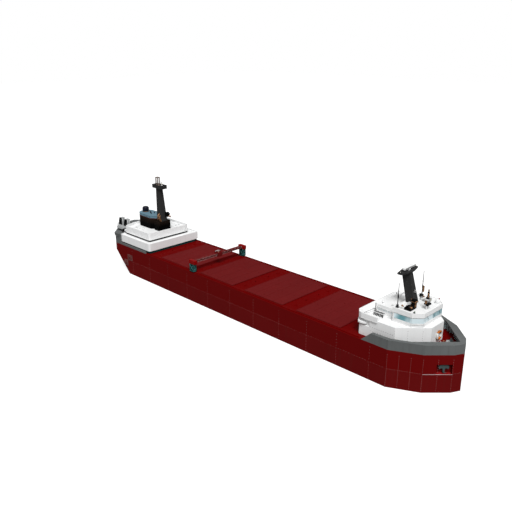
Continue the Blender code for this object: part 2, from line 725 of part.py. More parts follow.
def make_forward_house():
    """Two tiers notched at their after corners, an after porch and a bridge deck with a sloped well."""
    house = slab("forward_house", HOUSE_WHITE, mirrored(FORE_PLAN), DECK + EDGE, FORE_TOP)
    for side in (-1, 1):
        corner = on_side(CORNER_CUT, side)
        cutter = slab(f"corner_cutter_{side}", None, corner, LEDGE_TOP, FORE_TOP + BEYOND, CUTTERS)
        cut(house, cutter)
    join(house, slab("porch_part", None, mirrored(PORCH_PLAN), PORCH_LOW, PORCH_TOP, CUTTERS))
    plan = mirrored(BRIDGE_DECK_PLAN)
    join(house, slab("bridge_deck_part", None, plan, BRIDGE_DECK_LOW, BRIDGE_DECK_RAIL, CUTTERS))
    well = slab("well_cutter", None, mirrored(WELL_PLAN), FORE_TOP, BRIDGE_DECK_RAIL + EDGE, CUTTERS)
    front = WELL_PLAN[-1][0] * MODULE
    for vertex in well.data.vertices:
        if vertex.co.z < 0:
            vertex.co.x = front + (vertex.co.x - front) * WELL_SHRINK[0]
            vertex.co.y *= WELL_SHRINK[1]
    cut(house, well)


def make_pilothouse():
    """A hollow pilothouse and chart room with windows and a door cut, under a separate roof."""
    floor = FORE_TOP + EDGE
    inside = floor + BRIDGE_FLOOR
    walls = slab("pilothouse", HOUSE_WHITE, mirrored(BRIDGE_PLAN), floor, BRIDGE_TOP)
    chart_front = BRIDGE_PLAN[0][0] + BRIDGE_WALL / 2
    low, high = (CHART_BACK, -CHART_HALF, floor), (chart_front, CHART_HALF, CHART_TOP)
    join(walls, block("chart_room_part", None, low, high, CUTTERS))
    hollow = mirrored(inset_loop(BRIDGE_PLAN, BRIDGE_WALL))
    cut(walls, slab("bridge_hollow_cutter", None, hollow, inside, BRIDGE_TOP + BEYOND, CUTTERS))
    side = CHART_HALF - BRIDGE_WALL
    low = (CHART_BACK + BRIDGE_WALL, -side, inside)
    high = (BRIDGE_PLAN[0][0] + BEYOND, side, CHART_TOP - CHART_CEILING)
    cut(walls, block("chart_hollow_cutter", None, low, high, CUTTERS))
    for index, (start, end) in enumerate(window_spans()):
        cut(walls, window_cutter(index, start, end))
    low = (DOOR_X[0], CHART_HALF - BEYOND, inside)
    high = (DOOR_X[1], CHART_HALF + BEYOND, DOOR_TOP)
    cut(walls, block("door_cutter", None, low, high, CUTTERS))
    make_bridge_roof()
    make_glass()
    make_door(inside)
    back, front, half, height = CONSOLE
    desk = block("helm_console", STEEL, (back, -half, inside + EDGE), (front, half, inside + height))
    round_off(desk, 0.1, 2)


def make_bridge_roof():
    skirt = inset_loop(BRIDGE_PLAN, -ROOF_OVERHANG)
    roof = slab("pilothouse_roof", HOUSE_WHITE, mirrored(skirt), BRIDGE_TOP + EDGE, ROOF_TOP)
    hollow = mirrored(inset_loop(skirt, ROOF_RIM))
    cut(roof, slab("roof_cutter", None, hollow, ROOF_TOP - ROOF_SINK, ROOF_TOP + BEYOND, CUTTERS))


def make_glass():
    """One ring of glass just inside the walls, along both sides and across the front."""
    outer = inset_loop(BRIDGE_PLAN, BRIDGE_WALL + EDGE)
    inner = inset_loop(BRIDGE_PLAN, BRIDGE_WALL + GLASS_THICK)
    outer[0] = (WINDOW_FROM, outer[0][1])
    inner[0] = (WINDOW_FROM, inner[0][1])
    ring = on_side(outer, -1) + list(reversed(outer)) + inner + on_side(reversed(inner), -1)
    slab("pilothouse_glass", GLASS, ring, SILL - GLASS_LAP, WINDOW_TOP + GLASS_LAP)


def make_door(sill):
    """A door leaf flush with the port wall, on two hinge barrels outside its forward edge."""
    low = (DOOR_X[0] + DOOR_GAP, CHART_HALF - DOOR_THICK, sill + DOOR_GAP)
    high = (DOOR_X[1] - DOOR_GAP, CHART_HALF, DOOR_TOP - DOOR_GAP)
    leaf = block("pilothouse_door", HOUSE_WHITE, low, high)
    pin_x, pin_y = DOOR_X[1], CHART_HALF + HINGE_REACH
    for index, share in enumerate(HINGE_SHARES):
        z = low[2] + (high[2] - low[2]) * share
        ends = [(pin_x, pin_y, z + offset) for offset in (-HINGE_HALF, HINGE_HALF)]
        join(leaf, rod(f"hinge_barrel_part_{index}", None, *ends, HINGE_RADIUS, 16, CUTTERS))
        strap_low = (pin_x - 4 * DOOR_GAP, CHART_HALF - HINGE_RADIUS / 2, z - HINGE_HALF / 2)
        strap_high = (pin_x - DOOR_GAP / 10, pin_y + HINGE_RADIUS / 2, z + HINGE_HALF / 2)
        join(leaf, block(f"hinge_strap_part_{index}", None, strap_low, strap_high, CUTTERS))


def window_spans():
    """Pairs of plan points, one pair for each window, along both sides and across the front."""
    corner, front = BRIDGE_PLAN[1], BRIDGE_PLAN[2]
    starts = ((WINDOW_FROM, corner[1]), corner, (front[0], -front[1]))
    ends = (corner, front, front)
    spans = []
    for start, end, count in zip(starts, ends, WINDOW_COUNTS):
        for index in range(count):
            shares = ((index + WINDOW_POST) / count, (index + 1 - WINDOW_POST) / count)
            pieces = [Vector(start).lerp(Vector(end), share) for share in shares]
            spans.append(pieces)
            if start[1] > 0:
                spans.append([Vector((point.x, -point.y)) for point in pieces])
    return spans


def window_cutter(index, start, end):
    along = end - start
    middle = (start + end) / 2
    half = along.length / 2
    low, high = (-half, -2 * BRIDGE_WALL, SILL), (half, 2 * BRIDGE_WALL, WINDOW_TOP)
    cutter = block(f"window_cutter_{index}", None, low, high, CUTTERS)
    turn = Matrix.Rotation(math.atan2(along.y, along.x), 4, "Z")
    return placed(cutter, Matrix.Translation((middle.x * MODULE, middle.y * MODULE, 0.0)) @ turn)


def make_forward_mast():
    """A raked mast with a swept wing on top and a turning radar bar."""
    heights = (ROOF_TOP - ROOF_SINK + EDGE, FORE_MAST_HEAD)
    tapered("forward_mast", MAST_BLACK, FORE_MAST_BASE, FORE_MAST_TIP, heights)
    wing = on_side(reversed(WING_HALF), -1)[:-1] + WING_HALF[:-1]
    top = FORE_MAST_HEAD + WING_THICK
    slab("forward_mast_head", MAST_BLACK, wing, FORE_MAST_HEAD + EDGE, top)
    seat = top + PEDESTAL_HEIGHT
    rod("radar_pedestal", HOUSE_WHITE, (RADAR_X, 0, top + EDGE), (RADAR_X, 0, seat), PEDESTAL_RADIUS)
    length, width, height = SCANNER
    low, high = (RADAR_X - length, -width, seat + EDGE), (RADAR_X + length, width, seat + height)
    round_off(block("radar_scanner", HOUSE_WHITE, low, high), 0.1, 2)


def make_roof_fittings():
    roof = ROOF_TOP - ROOF_SINK + EDGE
    for name, x, y, top in WHIPS:
        radius, height = WHIP_FOOT
        whip = rod(name, STEEL, (x, y, roof), (x, y, roof + height), radius, 16)
        ends = ((x, y, roof + height / 2), (x, y, top))
        join(whip, rod(name + "_part", None, *ends, WHIP_RADIUS, 10, CUTTERS, tip=WHIP_RADIUS / 2))
    make_light_pole(roof)
    x, y, radius, height = DOME
    round_off(rod("satellite_dome", HOUSE_WHITE, (x, y, roof), (x, y, roof + height), radius, 20), 0.3)
    low, high, height = SIGNAL_BANK
    bank = block("signal_bank", STEEL, (*low, roof), (*high, roof + height))
    low, high, height = SIGNAL_LOCKER
    join(bank, block("signal_locker_part", None, (*low, roof + EDGE), (*high, roof + height), CUTTERS))


def make_light_pole(roof):
    """A pole with a searchlight, on a small table with two legs."""
    x, y = LIGHT_X, LIGHT_Y
    pole = rod("searchlight", STEEL, (x, y, LIGHT_TABLE), (x, y, LIGHT_TOP), 0.14, 16)
    table = ((x - 0.5, y - 0.5, LIGHT_TABLE - 0.1), (x + 0.5, y + 0.5, LIGHT_TABLE + 0.2))
    join(pole, block("light_table_part", None, *table, CUTTERS))
    for index, offset in enumerate((-LIGHT_LEG_Y, LIGHT_LEG_Y)):
        legs = ((x - 0.1, y + offset - 0.1, roof), (x + 0.1, y + offset + 0.1, LIGHT_TABLE))
        join(pole, block(f"light_leg_part_{index}", None, *legs, CUTTERS))
    lamp = ((x - 0.35, y, LIGHT_TABLE + 0.95), (x + 0.45, y, LIGHT_TABLE + 0.95))
    join(pole, rod("lamp_part", None, *lamp, 0.42, 16, CUTTERS))


def make_life_ring():
    """A ring buoy hung on the front wall of the forward house."""
    x = FORE_PLAN[-1][0] + EDGE + LIFE_RING_STAND_OFF
    bpy.ops.mesh.primitive_torus_add(
        major_segments=32,
        minor_segments=10,
        major_radius=LIFE_RING_MAJOR * MODULE,
        minor_radius=LIFE_RING_MINOR * MODULE,
        location=Vector((x, LIFE_RING_Y, LIFE_RING_Z)) * MODULE,
        rotation=(0.0, math.radians(90.0), 0.0),
    )
    keep(bpy.context.object, "life_ring", RING_ORANGE)


def make_windlass():
    x, bed = WINDLASS_X, DECK + EDGE
    low = (x - WINDLASS_HALF_LENGTH, -WINDLASS_HALF_WIDTH, bed)
    high = (x + WINDLASS_HALF_LENGTH, WINDLASS_HALF_WIDTH, bed + WINDLASS_BED)
    base = block("windlass", STEEL, low, high)
    reach = WINDLASS_HALF_WIDTH - 0.1
    drum = ((x, -reach, DECK + DRUM_HEIGHT), (x, reach, DECK + DRUM_HEIGHT))
    join(base, rod("windlass_drum_part", None, *drum, DRUM_RADIUS, 20, CUTTERS))
    for y in (-CHEEK_Y, CHEEK_Y):
        low = (x - CHEEK_HALF[0], y - CHEEK_HALF[1], bed + WINDLASS_BED / 3)
        high = (x + CHEEK_HALF[0], y + CHEEK_HALF[1], DECK + CHEEK_TOP)
        join(base, block(f"windlass_cheek_part_{y}", None, low, high, CUTTERS))


def make_skylight():
    """A slatted skylight on the bridge deck, with open panes from side to side."""
    low, high, height = SKYLIGHT
    roof = FORE_TOP + EDGE
    frame = block("skylight", STEEL, (*low, roof), (*high, roof + height))
    pitch = (high[0] - low[0]) / SKYLIGHT_PANES
    for pane in range(SKYLIGHT_PANES):
        x = low[0] + pane * pitch
        start = (x + pitch * 0.2, low[1] - BEYOND, roof + height * 0.25)
        end = (x + pitch * 0.8, high[1] + BEYOND, roof + height * 0.8)
        cut(frame, block(f"pane_cutter_{pane}", None, start, end, CUTTERS))


def make_rails():
    for side, name in ((-1, "starboard"), (1, "port")):
        y0, y1 = sorted((side * (CRANE_Y - RAIL_HALF), side * (CRANE_Y + RAIL_HALF)))
        low, high = (RAIL_ENDS[0], y0, DECK + EDGE), (RAIL_ENDS[1], y1, CRANE_FOOT - EDGE)
        block("crane_rail_" + name, HULL_RED, low, high)


def make_hatches():
    for number, (aft, fore) in enumerate(HATCHES, start=1):
        low, high = (aft, -HATCH_HALF_WIDTH, DECK + EDGE), (fore, HATCH_HALF_WIDTH, DECK + COVER_THICK)
        round_off(block(f"hatch_cover_{number}", HATCH_RED, low, high), COVER_EDGE, 2)


def make_crane():
    """A gantry that runs on the deck rails: braced legs, end caps, lattice beam and trolley."""
    x = CRANE_X
    for side, name in ((-1, "starboard"), (1, "port")):
        y0, y1 = sorted((side * (CRANE_Y - LEG_IN), side * (CRANE_Y + LEG_OUT)))
        low, high = (x - LEG_LENGTH, y0, CRANE_FOOT), (x + LEG_LENGTH, y1, CRANE_LEG_TOP)
        leg = block("crane_leg_" + name, CRANE_GREY, low, high)
        for cutter in leg_cutters(side):
            cut(leg, cutter)
        y0, y1 = sorted((side * (CRANE_Y - CAP_IN), side * (CRANE_Y + LEG_OUT)))
        low, high = (x - CAP_LENGTH, y0, CRANE_LEG_TOP + EDGE), (x + CAP_LENGTH, y1, CRANE_CAP_TOP)
        round_off(block("crane_cap_" + name, HULL_RED, low, high), 0.1, 2)
    reach = CRANE_Y - CAP_IN - EDGE
    low, high = (x - BEAM_HALF, -reach, BEAM_LOW), (x + BEAM_HALF, reach, BEAM_TOP)
    beam = block("crane_beam", CRANE_GREY, low, high)
    for index in range(BEAM_BAYS):
        cut(beam, beam_cutter(index, reach))
    make_trolley()


def make_trolley():
    """A saddle round the lattice beam, open along its underside."""
    x, far = CRANE_X, TROLLEY_HALF + BEYOND
    low = (x - TROLLEY_LENGTH, -TROLLEY_HALF, BEAM_LOW - TROLLEY_HANG)
    high = (x + TROLLEY_LENGTH, TROLLEY_HALF, BEAM_TOP + TROLLEY_CROWN)
    saddle = block("crane_trolley", STEEL, low, high)
    room = BEAM_HALF + TROLLEY_ROOM
    low, high = (x - room, -far, BEAM_LOW - TROLLEY_ROOM), (x + room, far, BEAM_TOP + EDGE)
    cut(saddle, block("trolley_cutter", None, low, high, CUTTERS))
    low = (x - TROLLEY_SLOT, -far, BEAM_LOW - BEYOND)
    high = (x + TROLLEY_SLOT, far, BEAM_LOW + TROLLEY_SLOT)
    cut(saddle, block("trolley_slot_cutter", None, low, high, CUTTERS))


def beam_cutter(index, reach):
    """One triangular gap of the lattice beam, point up or point down in turn."""
    pitch = 2 * reach / BEAM_BAYS
    y0 = -reach + index * pitch
    low, high = BEAM_LOW + BEAM_CHORD, BEAM_TOP - BEAM_CHORD
    wide, narrow = (low, high) if index % 2 == 0 else (high, low)
    triangle = [(y0 + BAY_POST, wide), (y0 + pitch - BAY_POST, wide), (y0 + pitch / 2, narrow)]
    reach_x = BEAM_HALF + BEYOND
    cutter = side_slab(f"beam_cutter_{index}", None, triangle, -reach_x, reach_x, CUTTERS)
    turn = Matrix.Rotation(math.radians(90.0), 4, "Z")
    return placed(cutter, Matrix.Translation((CRANE_X * MODULE, 0.0, 0.0)) @ turn)


def leg_cutters(side):
    """The four triangles between the braces of one crane leg."""
    x, low, high = CRANE_X, CRANE_FOOT + BRACE_LOW, CRANE_LEG_TOP - BRACE_TOP
    half = LEG_LENGTH - BRACE_INSET
    corners = [(x - half, low), (x + half, low), (x + half, high), (x - half, high)]
    centre = Vector((x, (low + high) / 2))
    ends = (side * (CRANE_Y - LEG_IN - BEYOND), side * (CRANE_Y + LEG_OUT + BEYOND))
    cutters = []
    for index in range(4):
        a, b = Vector(corners[index]), Vector(corners[(index + 1) % 4])
        middle = (a + b + centre) / 3
        triangle = [(p + (middle - p).normalized() * BRACE_WIDTH)[:] for p in (a, b, centre)]
        cutters.append(side_slab(f"leg_cutter_{side}_{index}", None, triangle, *ends, CUTTERS))
    return cutters


def make_propeller():
    ends = ((BOSS_AFT - SHAFT_CLEARANCE, 0, SHAFT_HEIGHT), (PROPELLER_AFT, 0, SHAFT_HEIGHT))
    hub = rod("propeller", BRONZE, *ends, HUB_RADIUS, 24)
    for index in range(BLADES):
        blade = ball(f"blade_part_{index}", (0, 0, 0), BLADE_RADII)
        pitch = Matrix.Rotation(math.radians(BLADE_PITCH), 4, "Z")
        spread = Matrix.Translation((0.0, 0.0, (PROPELLER_RADIUS - BLADE_RADII[2]) * MODULE))
        turn = Matrix.Rotation(math.radians(360.0 * index / BLADES + 45.0), 4, "X")
        place = Matrix.Translation((PROPELLER_X * MODULE, 0.0, SHAFT_HEIGHT * MODULE))
        placed(blade, place @ turn @ spread @ pitch)
        join(hub, blade)


def make_rudder():
    half = RUDDER_HALF
    nose = [(RUDDER_FRONT - half + half * math.cos(a), half * math.sin(a)) for a in arc(-90.0, 90.0, 8)]
    outline = [(RUDDER_AFT, -RUDDER_TRAILING), (RUDDER_MIDDLE, -half)] + nose
    outline += [(RUDDER_MIDDLE, half), (RUDDER_AFT, RUDDER_TRAILING)]
    blade = slab("rudder", HULL_RED, outline, RUDDER_LOW, RUDDER_TOP)
    stock = ((RUDDER_POST, 0.0, RUDDER_TOP - STOCK_RADIUS), (RUDDER_POST, 0.0, STOCK_TOP))
    join(blade, rod("stock_part", None, *stock, STOCK_RADIUS, collection=CUTTERS))


make_hull()
for mirror_side, side_name in ((-1, "starboard"), (1, "port")):
    make_anchor(mirror_side, "anchor_" + side_name)
    make_vent_platform(mirror_side, "vent_platform_" + side_name)
make_bow_bulwark()
make_stern_bulwark()
make_aft_house()
make_funnel()
make_aft_mast()
make_forward_house()
make_pilothouse()
make_forward_mast()
make_roof_fittings()
make_life_ring()
make_windlass()
make_skylight()
make_rails()
make_hatches()
make_crane()
make_propeller()
make_rudder()
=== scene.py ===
"""The looks of a lake freighter, a 1:10 scale model: pilothouse forward, engine house aft.

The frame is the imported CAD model, in metres: +X towards the bow, +Y to port, +Z up.
Details are laid out in modules, steps of the hull's plating grid, and scaled once at the end.
"""
import math

import bmesh
import bpy
from mathutils import Matrix, Vector


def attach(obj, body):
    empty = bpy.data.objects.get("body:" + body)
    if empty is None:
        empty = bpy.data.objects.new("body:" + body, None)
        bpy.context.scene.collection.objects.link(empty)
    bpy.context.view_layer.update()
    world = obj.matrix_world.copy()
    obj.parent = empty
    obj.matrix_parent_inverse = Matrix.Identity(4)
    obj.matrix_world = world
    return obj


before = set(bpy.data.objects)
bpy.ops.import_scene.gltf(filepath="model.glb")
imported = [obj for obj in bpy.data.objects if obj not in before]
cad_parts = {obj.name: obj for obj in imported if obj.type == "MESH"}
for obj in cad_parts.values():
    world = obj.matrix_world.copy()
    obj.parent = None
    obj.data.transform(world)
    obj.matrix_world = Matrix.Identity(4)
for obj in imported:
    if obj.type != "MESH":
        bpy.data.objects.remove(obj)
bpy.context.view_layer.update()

MODULE = 0.075

# Camera, in metres
CAMERA_PLACE = Vector((7.498, -7.504, 4.765))
CAMERA_TARGET = Vector((-0.006, 0.0, 1.0125))
CAMERA_VIEW = math.radians(45.0)

# Light: a soft sun from forward of the starboard beam, and a pale room
SUN_DIRECTION = Vector((0.43, -0.37, 0.82))
SUN_STRENGTH = 3.3
SUN_ANGLE = 25.0
ROOM_LIGHT = 0.355
FLOOR_SIZE = 120.0
FLOOR_BOUNCE = 0.3
FLOOR_SEEN = 0.35
FLOOR_GLOW = 0.8

# Levels and outlines of the CAD model, in modules
DECK = 8.0
HALF_BEAM = 9.0
BOW_PLAN = [(44.0, 9.0), (50.0, 6.0), (54.0, 2.0), (55.0, 0.0)]
BOW_LIP = [(40.0, 8.25), (43.7, 8.15), (47.4, 6.45), (53.85, 0.0)]
BOW_RAIL = 10.0
STERN_PLAN = [(-54.76, 2.24), (-48.0, 9.0)]
STERN_RAIL = 11.0
HATCHES = [(-28.0, -16.0), (-12.0, 0.0), (4.0, 16.0), (20.0, 32.0)]
HATCH_HALF = 8.0
HATCH_TOP = 8.16
AFT_FRONT = -32.2
AFT_BACK = -45.9
AFT_HALF = 8.62
AFT_ROOF_1 = 10.5
AFT_TIER_1 = 10.88
UPPER_FRONT = -34.55
UPPER_BACK = -45.7
UPPER_HALF = 6.82
AFT_ROOF_2 = 12.25
AFT_TIER_2 = 12.95
NOTCH_BACK = -48.3
NOTCH_HALF = 5.6
FUNNEL_BACK = -46.85
FUNNEL_SHOULDER = -40.2
FUNNEL_FRONT = -38.6
FUNNEL_HALF = 2.2
FUNNEL_FRONT_HALF = 1.0
CASING_TOP = 15.35
BAND_TOP = 16.0
MAST_HOUSE_FRONT = -36.5
MAST_HOUSE_TOP = 14.8
MAST_HEAD = 24.05
FORE_BACK = 36.0
FORE_HALF = 7.15
FORE_SHOULDER = 44.1
FORE_FRONT = (49.05, 2.25)
FORE_TOP = 11.95
CHART = (37.45, 42.0, 3.6, 13.8)
BRIDGE_PLAN = [(42.0, 4.9), (46.15, 4.9), (47.8, 3.4)]
SILL = 12.82
WINDOW_TOP = 13.84
BRIDGE_ROOF = 14.75
ROOF_TOP = 14.9
TRUNK_RAKE = 0.336
CRANE_X = -13.85
CRANE_Y = 8.55


class Graph:
    """A short way to lay out the nodes of one material."""

    def __init__(self, name):
        self.material = bpy.data.materials.new(name)
        self.material.use_nodes = True
        self.tree = self.material.node_tree
        self.shader = self.tree.nodes["Principled BSDF"]
        self.place = self.add("ShaderNodeTexCoord").outputs["Object"]

    def add(self, kind, **values):
        node = self.tree.nodes.new(kind)
        for key, value in values.items():
            setattr(node, key, value)
        return node

    def link(self, source, target):
        self.tree.links.new(source, target)

    def math(self, operation, first, second=None, third=None):
        node = self.add("ShaderNodeMath", operation=operation)
        for socket, value in zip(node.inputs, (first, second, third)):
            if value is None:
                continue
            if isinstance(value, (int, float)):
                socket.default_value = value
            else:
                self.link(value, socket)
        return node.outputs[0]

    def mix(self, share, first, second):
        """A colour between two colours, each a tuple or a socket."""
        node = self.add("ShaderNodeMix", data_type="RGBA")
        for socket, value in zip((node.inputs[0], node.inputs[6], node.inputs[7]), (share, first, second)):
            if isinstance(value, tuple):
                socket.default_value = (*value, 1.0)
            elif isinstance(value, (int, float)):
                socket.default_value = value
            else:
                self.link(value, socket)
        return node.outputs[2]

    def noise(self, scale, detail=4.0, roughness=0.55, stretch=None):
        vector = self.place
        if stretch:
            mapping = self.add("ShaderNodeMapping")
            mapping.inputs["Scale"].default_value = stretch
            self.link(vector, mapping.inputs["Vector"])
            vector = mapping.outputs["Vector"]
        node = self.add("ShaderNodeTexNoise")
        node.inputs["Scale"].default_value = scale
        node.inputs["Detail"].default_value = detail
        node.inputs["Roughness"].default_value = roughness
        self.link(vector, node.inputs["Vector"])
        return node.outputs[0]

    def ramp(self, value, low, high, least=0.0, most=1.0):
        node = self.add("ShaderNodeMapRange")
        for socket, number in zip(node.inputs[1:5], (low, high, least, most)):
            socket.default_value = number
        self.link(value, node.inputs[0])
        return node.outputs[0]

    def axes(self):
        node = self.add("ShaderNodeSeparateXYZ")
        self.link(self.place, node.inputs[0])
        return node.outputs

    def seams(self, across, along, width, height, line):
        """A mask of plate joints on a grid, from two coordinates in metres."""
        joined = self.add("ShaderNodeCombineXYZ")
        self.link(across, joined.inputs[0])
        self.link(along, joined.inputs[1])
        brick = self.add("ShaderNodeTexBrick", offset=0.0)
        brick.inputs["Scale"].default_value = 1.0
        brick.inputs["Mortar Size"].default_value = line
        brick.inputs["Mortar Smooth"].default_value = 0.3
        brick.inputs["Brick Width"].default_value = width
        brick.inputs["Row Height"].default_value = height
        self.link(joined.outputs[0], brick.inputs["Vector"])
        return brick.outputs["Fac"]

    def relief(self, height, depth, strength=1.0, below=None):
        node = self.add("ShaderNodeBump")
        node.inputs["Distance"].default_value = depth
        node.inputs["Strength"].default_value = strength
        self.link(height, node.inputs["Height"])
        if below is not None:
            self.link(below, node.inputs["Normal"])
        return node.outputs[0]


def scaled(colour, by):
    return tuple(min(1.0, part * by) for part in colour)


def coat(name, colour, rough=0.5, gloss=0.25, metal=0.0, vary=0.12, streak=0.12, rust=0.0, plates=None,
         line=0.0025, line_tone=0.75, grain=0.0004, dirt=(0.03, 0.022, 0.016), bands=(), fade=None):
    """Painted steel: tone that drifts, vertical streaks, rust bloom, plate joints and a fine orange peel.

    plates is (coordinates, width, height) of the plating in metres: "wall" runs round upright
    walls, "hull" follows the length and "deck" lies flat. bands are (low, high, colour) stripes
    between two heights. fade is (low, high, colour), a colour that grows between two heights.
    """
    graph = Graph(name)
    x, y, z = graph.axes()
    tone = graph.noise(1.6, 5.0)
    paint = graph.mix(graph.ramp(tone, 0.3, 0.7), scaled(colour, 1.0 - vary), scaled(colour, 1.0 + vary))
    if fade:
        low, high, glow = fade
        paint = graph.mix(graph.ramp(z, low * MODULE, high * MODULE), paint, glow)
    runs = graph.noise(2.2, 6.0, 0.6, (9.0, 9.0, 0.55))
    paint = graph.mix(graph.ramp(runs, 0.54, 0.78, 0.0, streak), paint, dirt)
    normal = graph.relief(graph.noise(160.0, 3.0), grain)
    if plates:
        kind, width, height = plates
        along = graph.math("SUBTRACT", x, graph.math("ABSOLUTE", y)) if kind == "wall" else x
        joint = graph.seams(along, y if kind == "deck" else z, width, height, line)
        paint = graph.mix(graph.math("MULTIPLY", joint, 0.6), paint, scaled(colour, line_tone))
        normal = graph.relief(joint, -0.0012, 0.8, normal)
        dents = graph.noise(3.2, 2.0)
        normal = graph.relief(dents, 0.003, 0.35, normal)
    for low, high, stripe in bands:
        above = graph.math("GREATER_THAN", z, low * MODULE)
        inside = graph.math("MULTIPLY", above, graph.math("LESS_THAN", z, high * MODULE))
        paint = graph.mix(inside, paint, stripe)
    if rust:
        bloom = graph.noise(9.0, 9.0, 0.7)
        paint = graph.mix(graph.ramp(bloom, 0.6, 0.74, 0.0, rust), paint, (0.1, 0.028, 0.008))
    graph.link(paint, graph.shader.inputs["Base Color"])
    wear = graph.noise(22.0, 5.0)
    graph.link(graph.ramp(wear, 0.25, 0.75, rough - 0.09, rough + 0.12), graph.shader.inputs["Roughness"])
    graph.link(normal, graph.shader.inputs["Normal"])
    graph.shader.inputs["Metallic"].default_value = metal
    graph.shader.inputs["Specular IOR Level"].default_value = gloss
    return graph.material


def bare_metal(name, colour, rough=0.35, tarnish=(0.03, 0.02, 0.012), share=0.5):
    """Unpainted metal with cloudy tarnish and small scratches."""
    graph = Graph(name)
    cloud = graph.noise(14.0, 7.0, 0.65)
    paint = graph.mix(graph.ramp(cloud, 0.42, 0.72, 0.0, share), colour, tarnish)
    graph.link(paint, graph.shader.inputs["Base Color"])
    graph.link(graph.ramp(cloud, 0.3, 0.8, rough - 0.08, rough + 0.25), graph.shader.inputs["Roughness"])
    scratch = graph.noise(60.0, 4.0, 0.6, (1.0, 1.0, 6.0))
    graph.link(graph.relief(scratch, 0.0004), graph.shader.inputs["Normal"])
    graph.shader.inputs["Metallic"].default_value = 0.9
    return graph.material


def glazing(name, colour, dark, through=0.0, rough=0.08, patch=6.0):
    """Window glass: a pale sheet with darker patches where the room behind shows."""
    graph = Graph(name)
    patches = graph.noise(patch, 2.0, 0.4, (1.0, 1.0, 0.35))
    tint = graph.mix(graph.ramp(patches, 0.5, 0.62), colour, dark)
    smear = graph.noise(30.0, 5.0, 0.6, (1.0, 1.0, 0.4))
    graph.link(tint, graph.shader.inputs["Base Color"])
    graph.link(graph.ramp(smear, 0.4, 0.8, rough, rough + 0.14), graph.shader.inputs["Roughness"])
    graph.link(graph.relief(graph.noise(5.0, 2.0), 0.0006), graph.shader.inputs["Normal"])
    graph.shader.inputs["Transmission Weight"].default_value = through
    graph.shader.inputs["IOR"].default_value = 1.45
    return graph.material


def banded_ring(name, centre, first, second, bands=2):
    """Paint that alternates round a ring that faces the bow, with worn edges between the bands."""
    graph = Graph(name)
    _, y, z = graph.axes()
    turn = graph.math("ARCTAN2", graph.math("SUBTRACT", y, centre[1]), graph.math("SUBTRACT", z, centre[2]))
    wave = graph.math("COSINE", graph.math("MULTIPLY", turn, bands))
    ragged = graph.math("ADD", wave, graph.ramp(graph.noise(60.0), 0.3, 0.7, -0.12, 0.12))
    tone = graph.mix(graph.ramp(ragged, -0.04, 0.04), second, first)
    worn = graph.mix(graph.ramp(graph.noise(25.0, 6.0), 0.5, 0.8, 0.0, 0.35), tone, (0.12, 0.08, 0.05))
    graph.link(worn, graph.shader.inputs["Base Color"])
    graph.link(graph.relief(graph.noise(300.0, 2.0), 0.0005), graph.shader.inputs["Normal"])
    graph.link(graph.ramp(graph.noise(40.0), 0.3, 0.7, 0.45, 0.65), graph.shader.inputs["Roughness"])
    return graph.material


HULL_RED = coat("hull_paint", (0.118, 0.0045, 0.0048), 0.6, 0.02, vary=0.06, streak=0.12, rust=0.15,
                plates=("hull", 0.6, 0.3), line_tone=2.4,
                bands=((4.0, 7.99, (0.121, 0.0026, 0.0028)), (7.99, 9.0, (0.118, 0.001, 0.001))))
DECK_RED = coat("deck_paint", (0.118, 0.0008, 0.0008), 0.65, 0.015, vary=0.07, streak=0.0, rust=0.1,
                plates=("deck", 0.6, 0.45), line_tone=0.75)
HATCH_RED = coat("hatch_paint", (0.122, 0.0085, 0.009), 0.65, 0.02, vary=0.06, streak=0.0, rust=0.14,
                 plates=("deck", 0.225, 1.2), line_tone=0.8)
BULWARK_GREY = coat("bulwark_paint", (0.115, 0.122, 0.122), 0.55, 0.12, vary=0.1, streak=0.2, rust=0.14,
                    plates=("wall", 0.3, 0.9), line_tone=0.8)
# Lining inside the bow bulwark: a pale teal far lighter than the bulwark, painted light that lifts the inner wall out
# of the shade under the lip.
LINING_PALE_PAINTED_LIGHT = coat("lining_paint_painted_light", (0.34, 0.46, 0.47), 0.6, 0.1, vary=0.1, rust=0.15)
# Rubbing bar at the bow: a real bar, with pale paint that is a painted highlight along the seam at 4 modules.
BOW_BAR_PAINTED_HIGHLIGHT = coat("bow_bar_painted_highlight", (0.42, 0.33, 0.33), 0.5, 0.2, vary=0.1, rust=0.2)
STRIP_GREY = coat("strip_paint", (0.07, 0.085, 0.08), 0.55, 0.2, rust=0.2)
HOUSE_WHITE = coat("house_paint", (0.825, 0.83, 0.83), 0.45, 0.2, vary=0.02, streak=0.07, rust=0.05,
                   plates=("wall", 0.225, 0.9), line_tone=0.9, dirt=(0.4, 0.37, 0.33))
# House white for the upper tier of the engine house, with a near-black band from 10.51 to 10.98 modules: a painted
# shadow in the recessed groove at its foot.
HOUSE_WHITE_GROOVE_SHADE = coat("house_paint_painted_groove_shade", (0.825, 0.83, 0.83), 0.45, 0.2, vary=0.02, streak=0.07, rust=0.05,
                     plates=("wall", 0.225, 0.9), line_tone=0.9, dirt=(0.4, 0.37, 0.33),
                     bands=((10.51, 10.98, (0.003, 0.0035, 0.0035)),))
TRIM_WHITE = coat("trim_paint", (0.82, 0.825, 0.825), 0.4, 0.3, vary=0.03, streak=0.05)
PLATFORM_GREY = coat("platform_paint", (0.36, 0.37, 0.37), 0.5, 0.2, vary=0.06, rust=0.12)
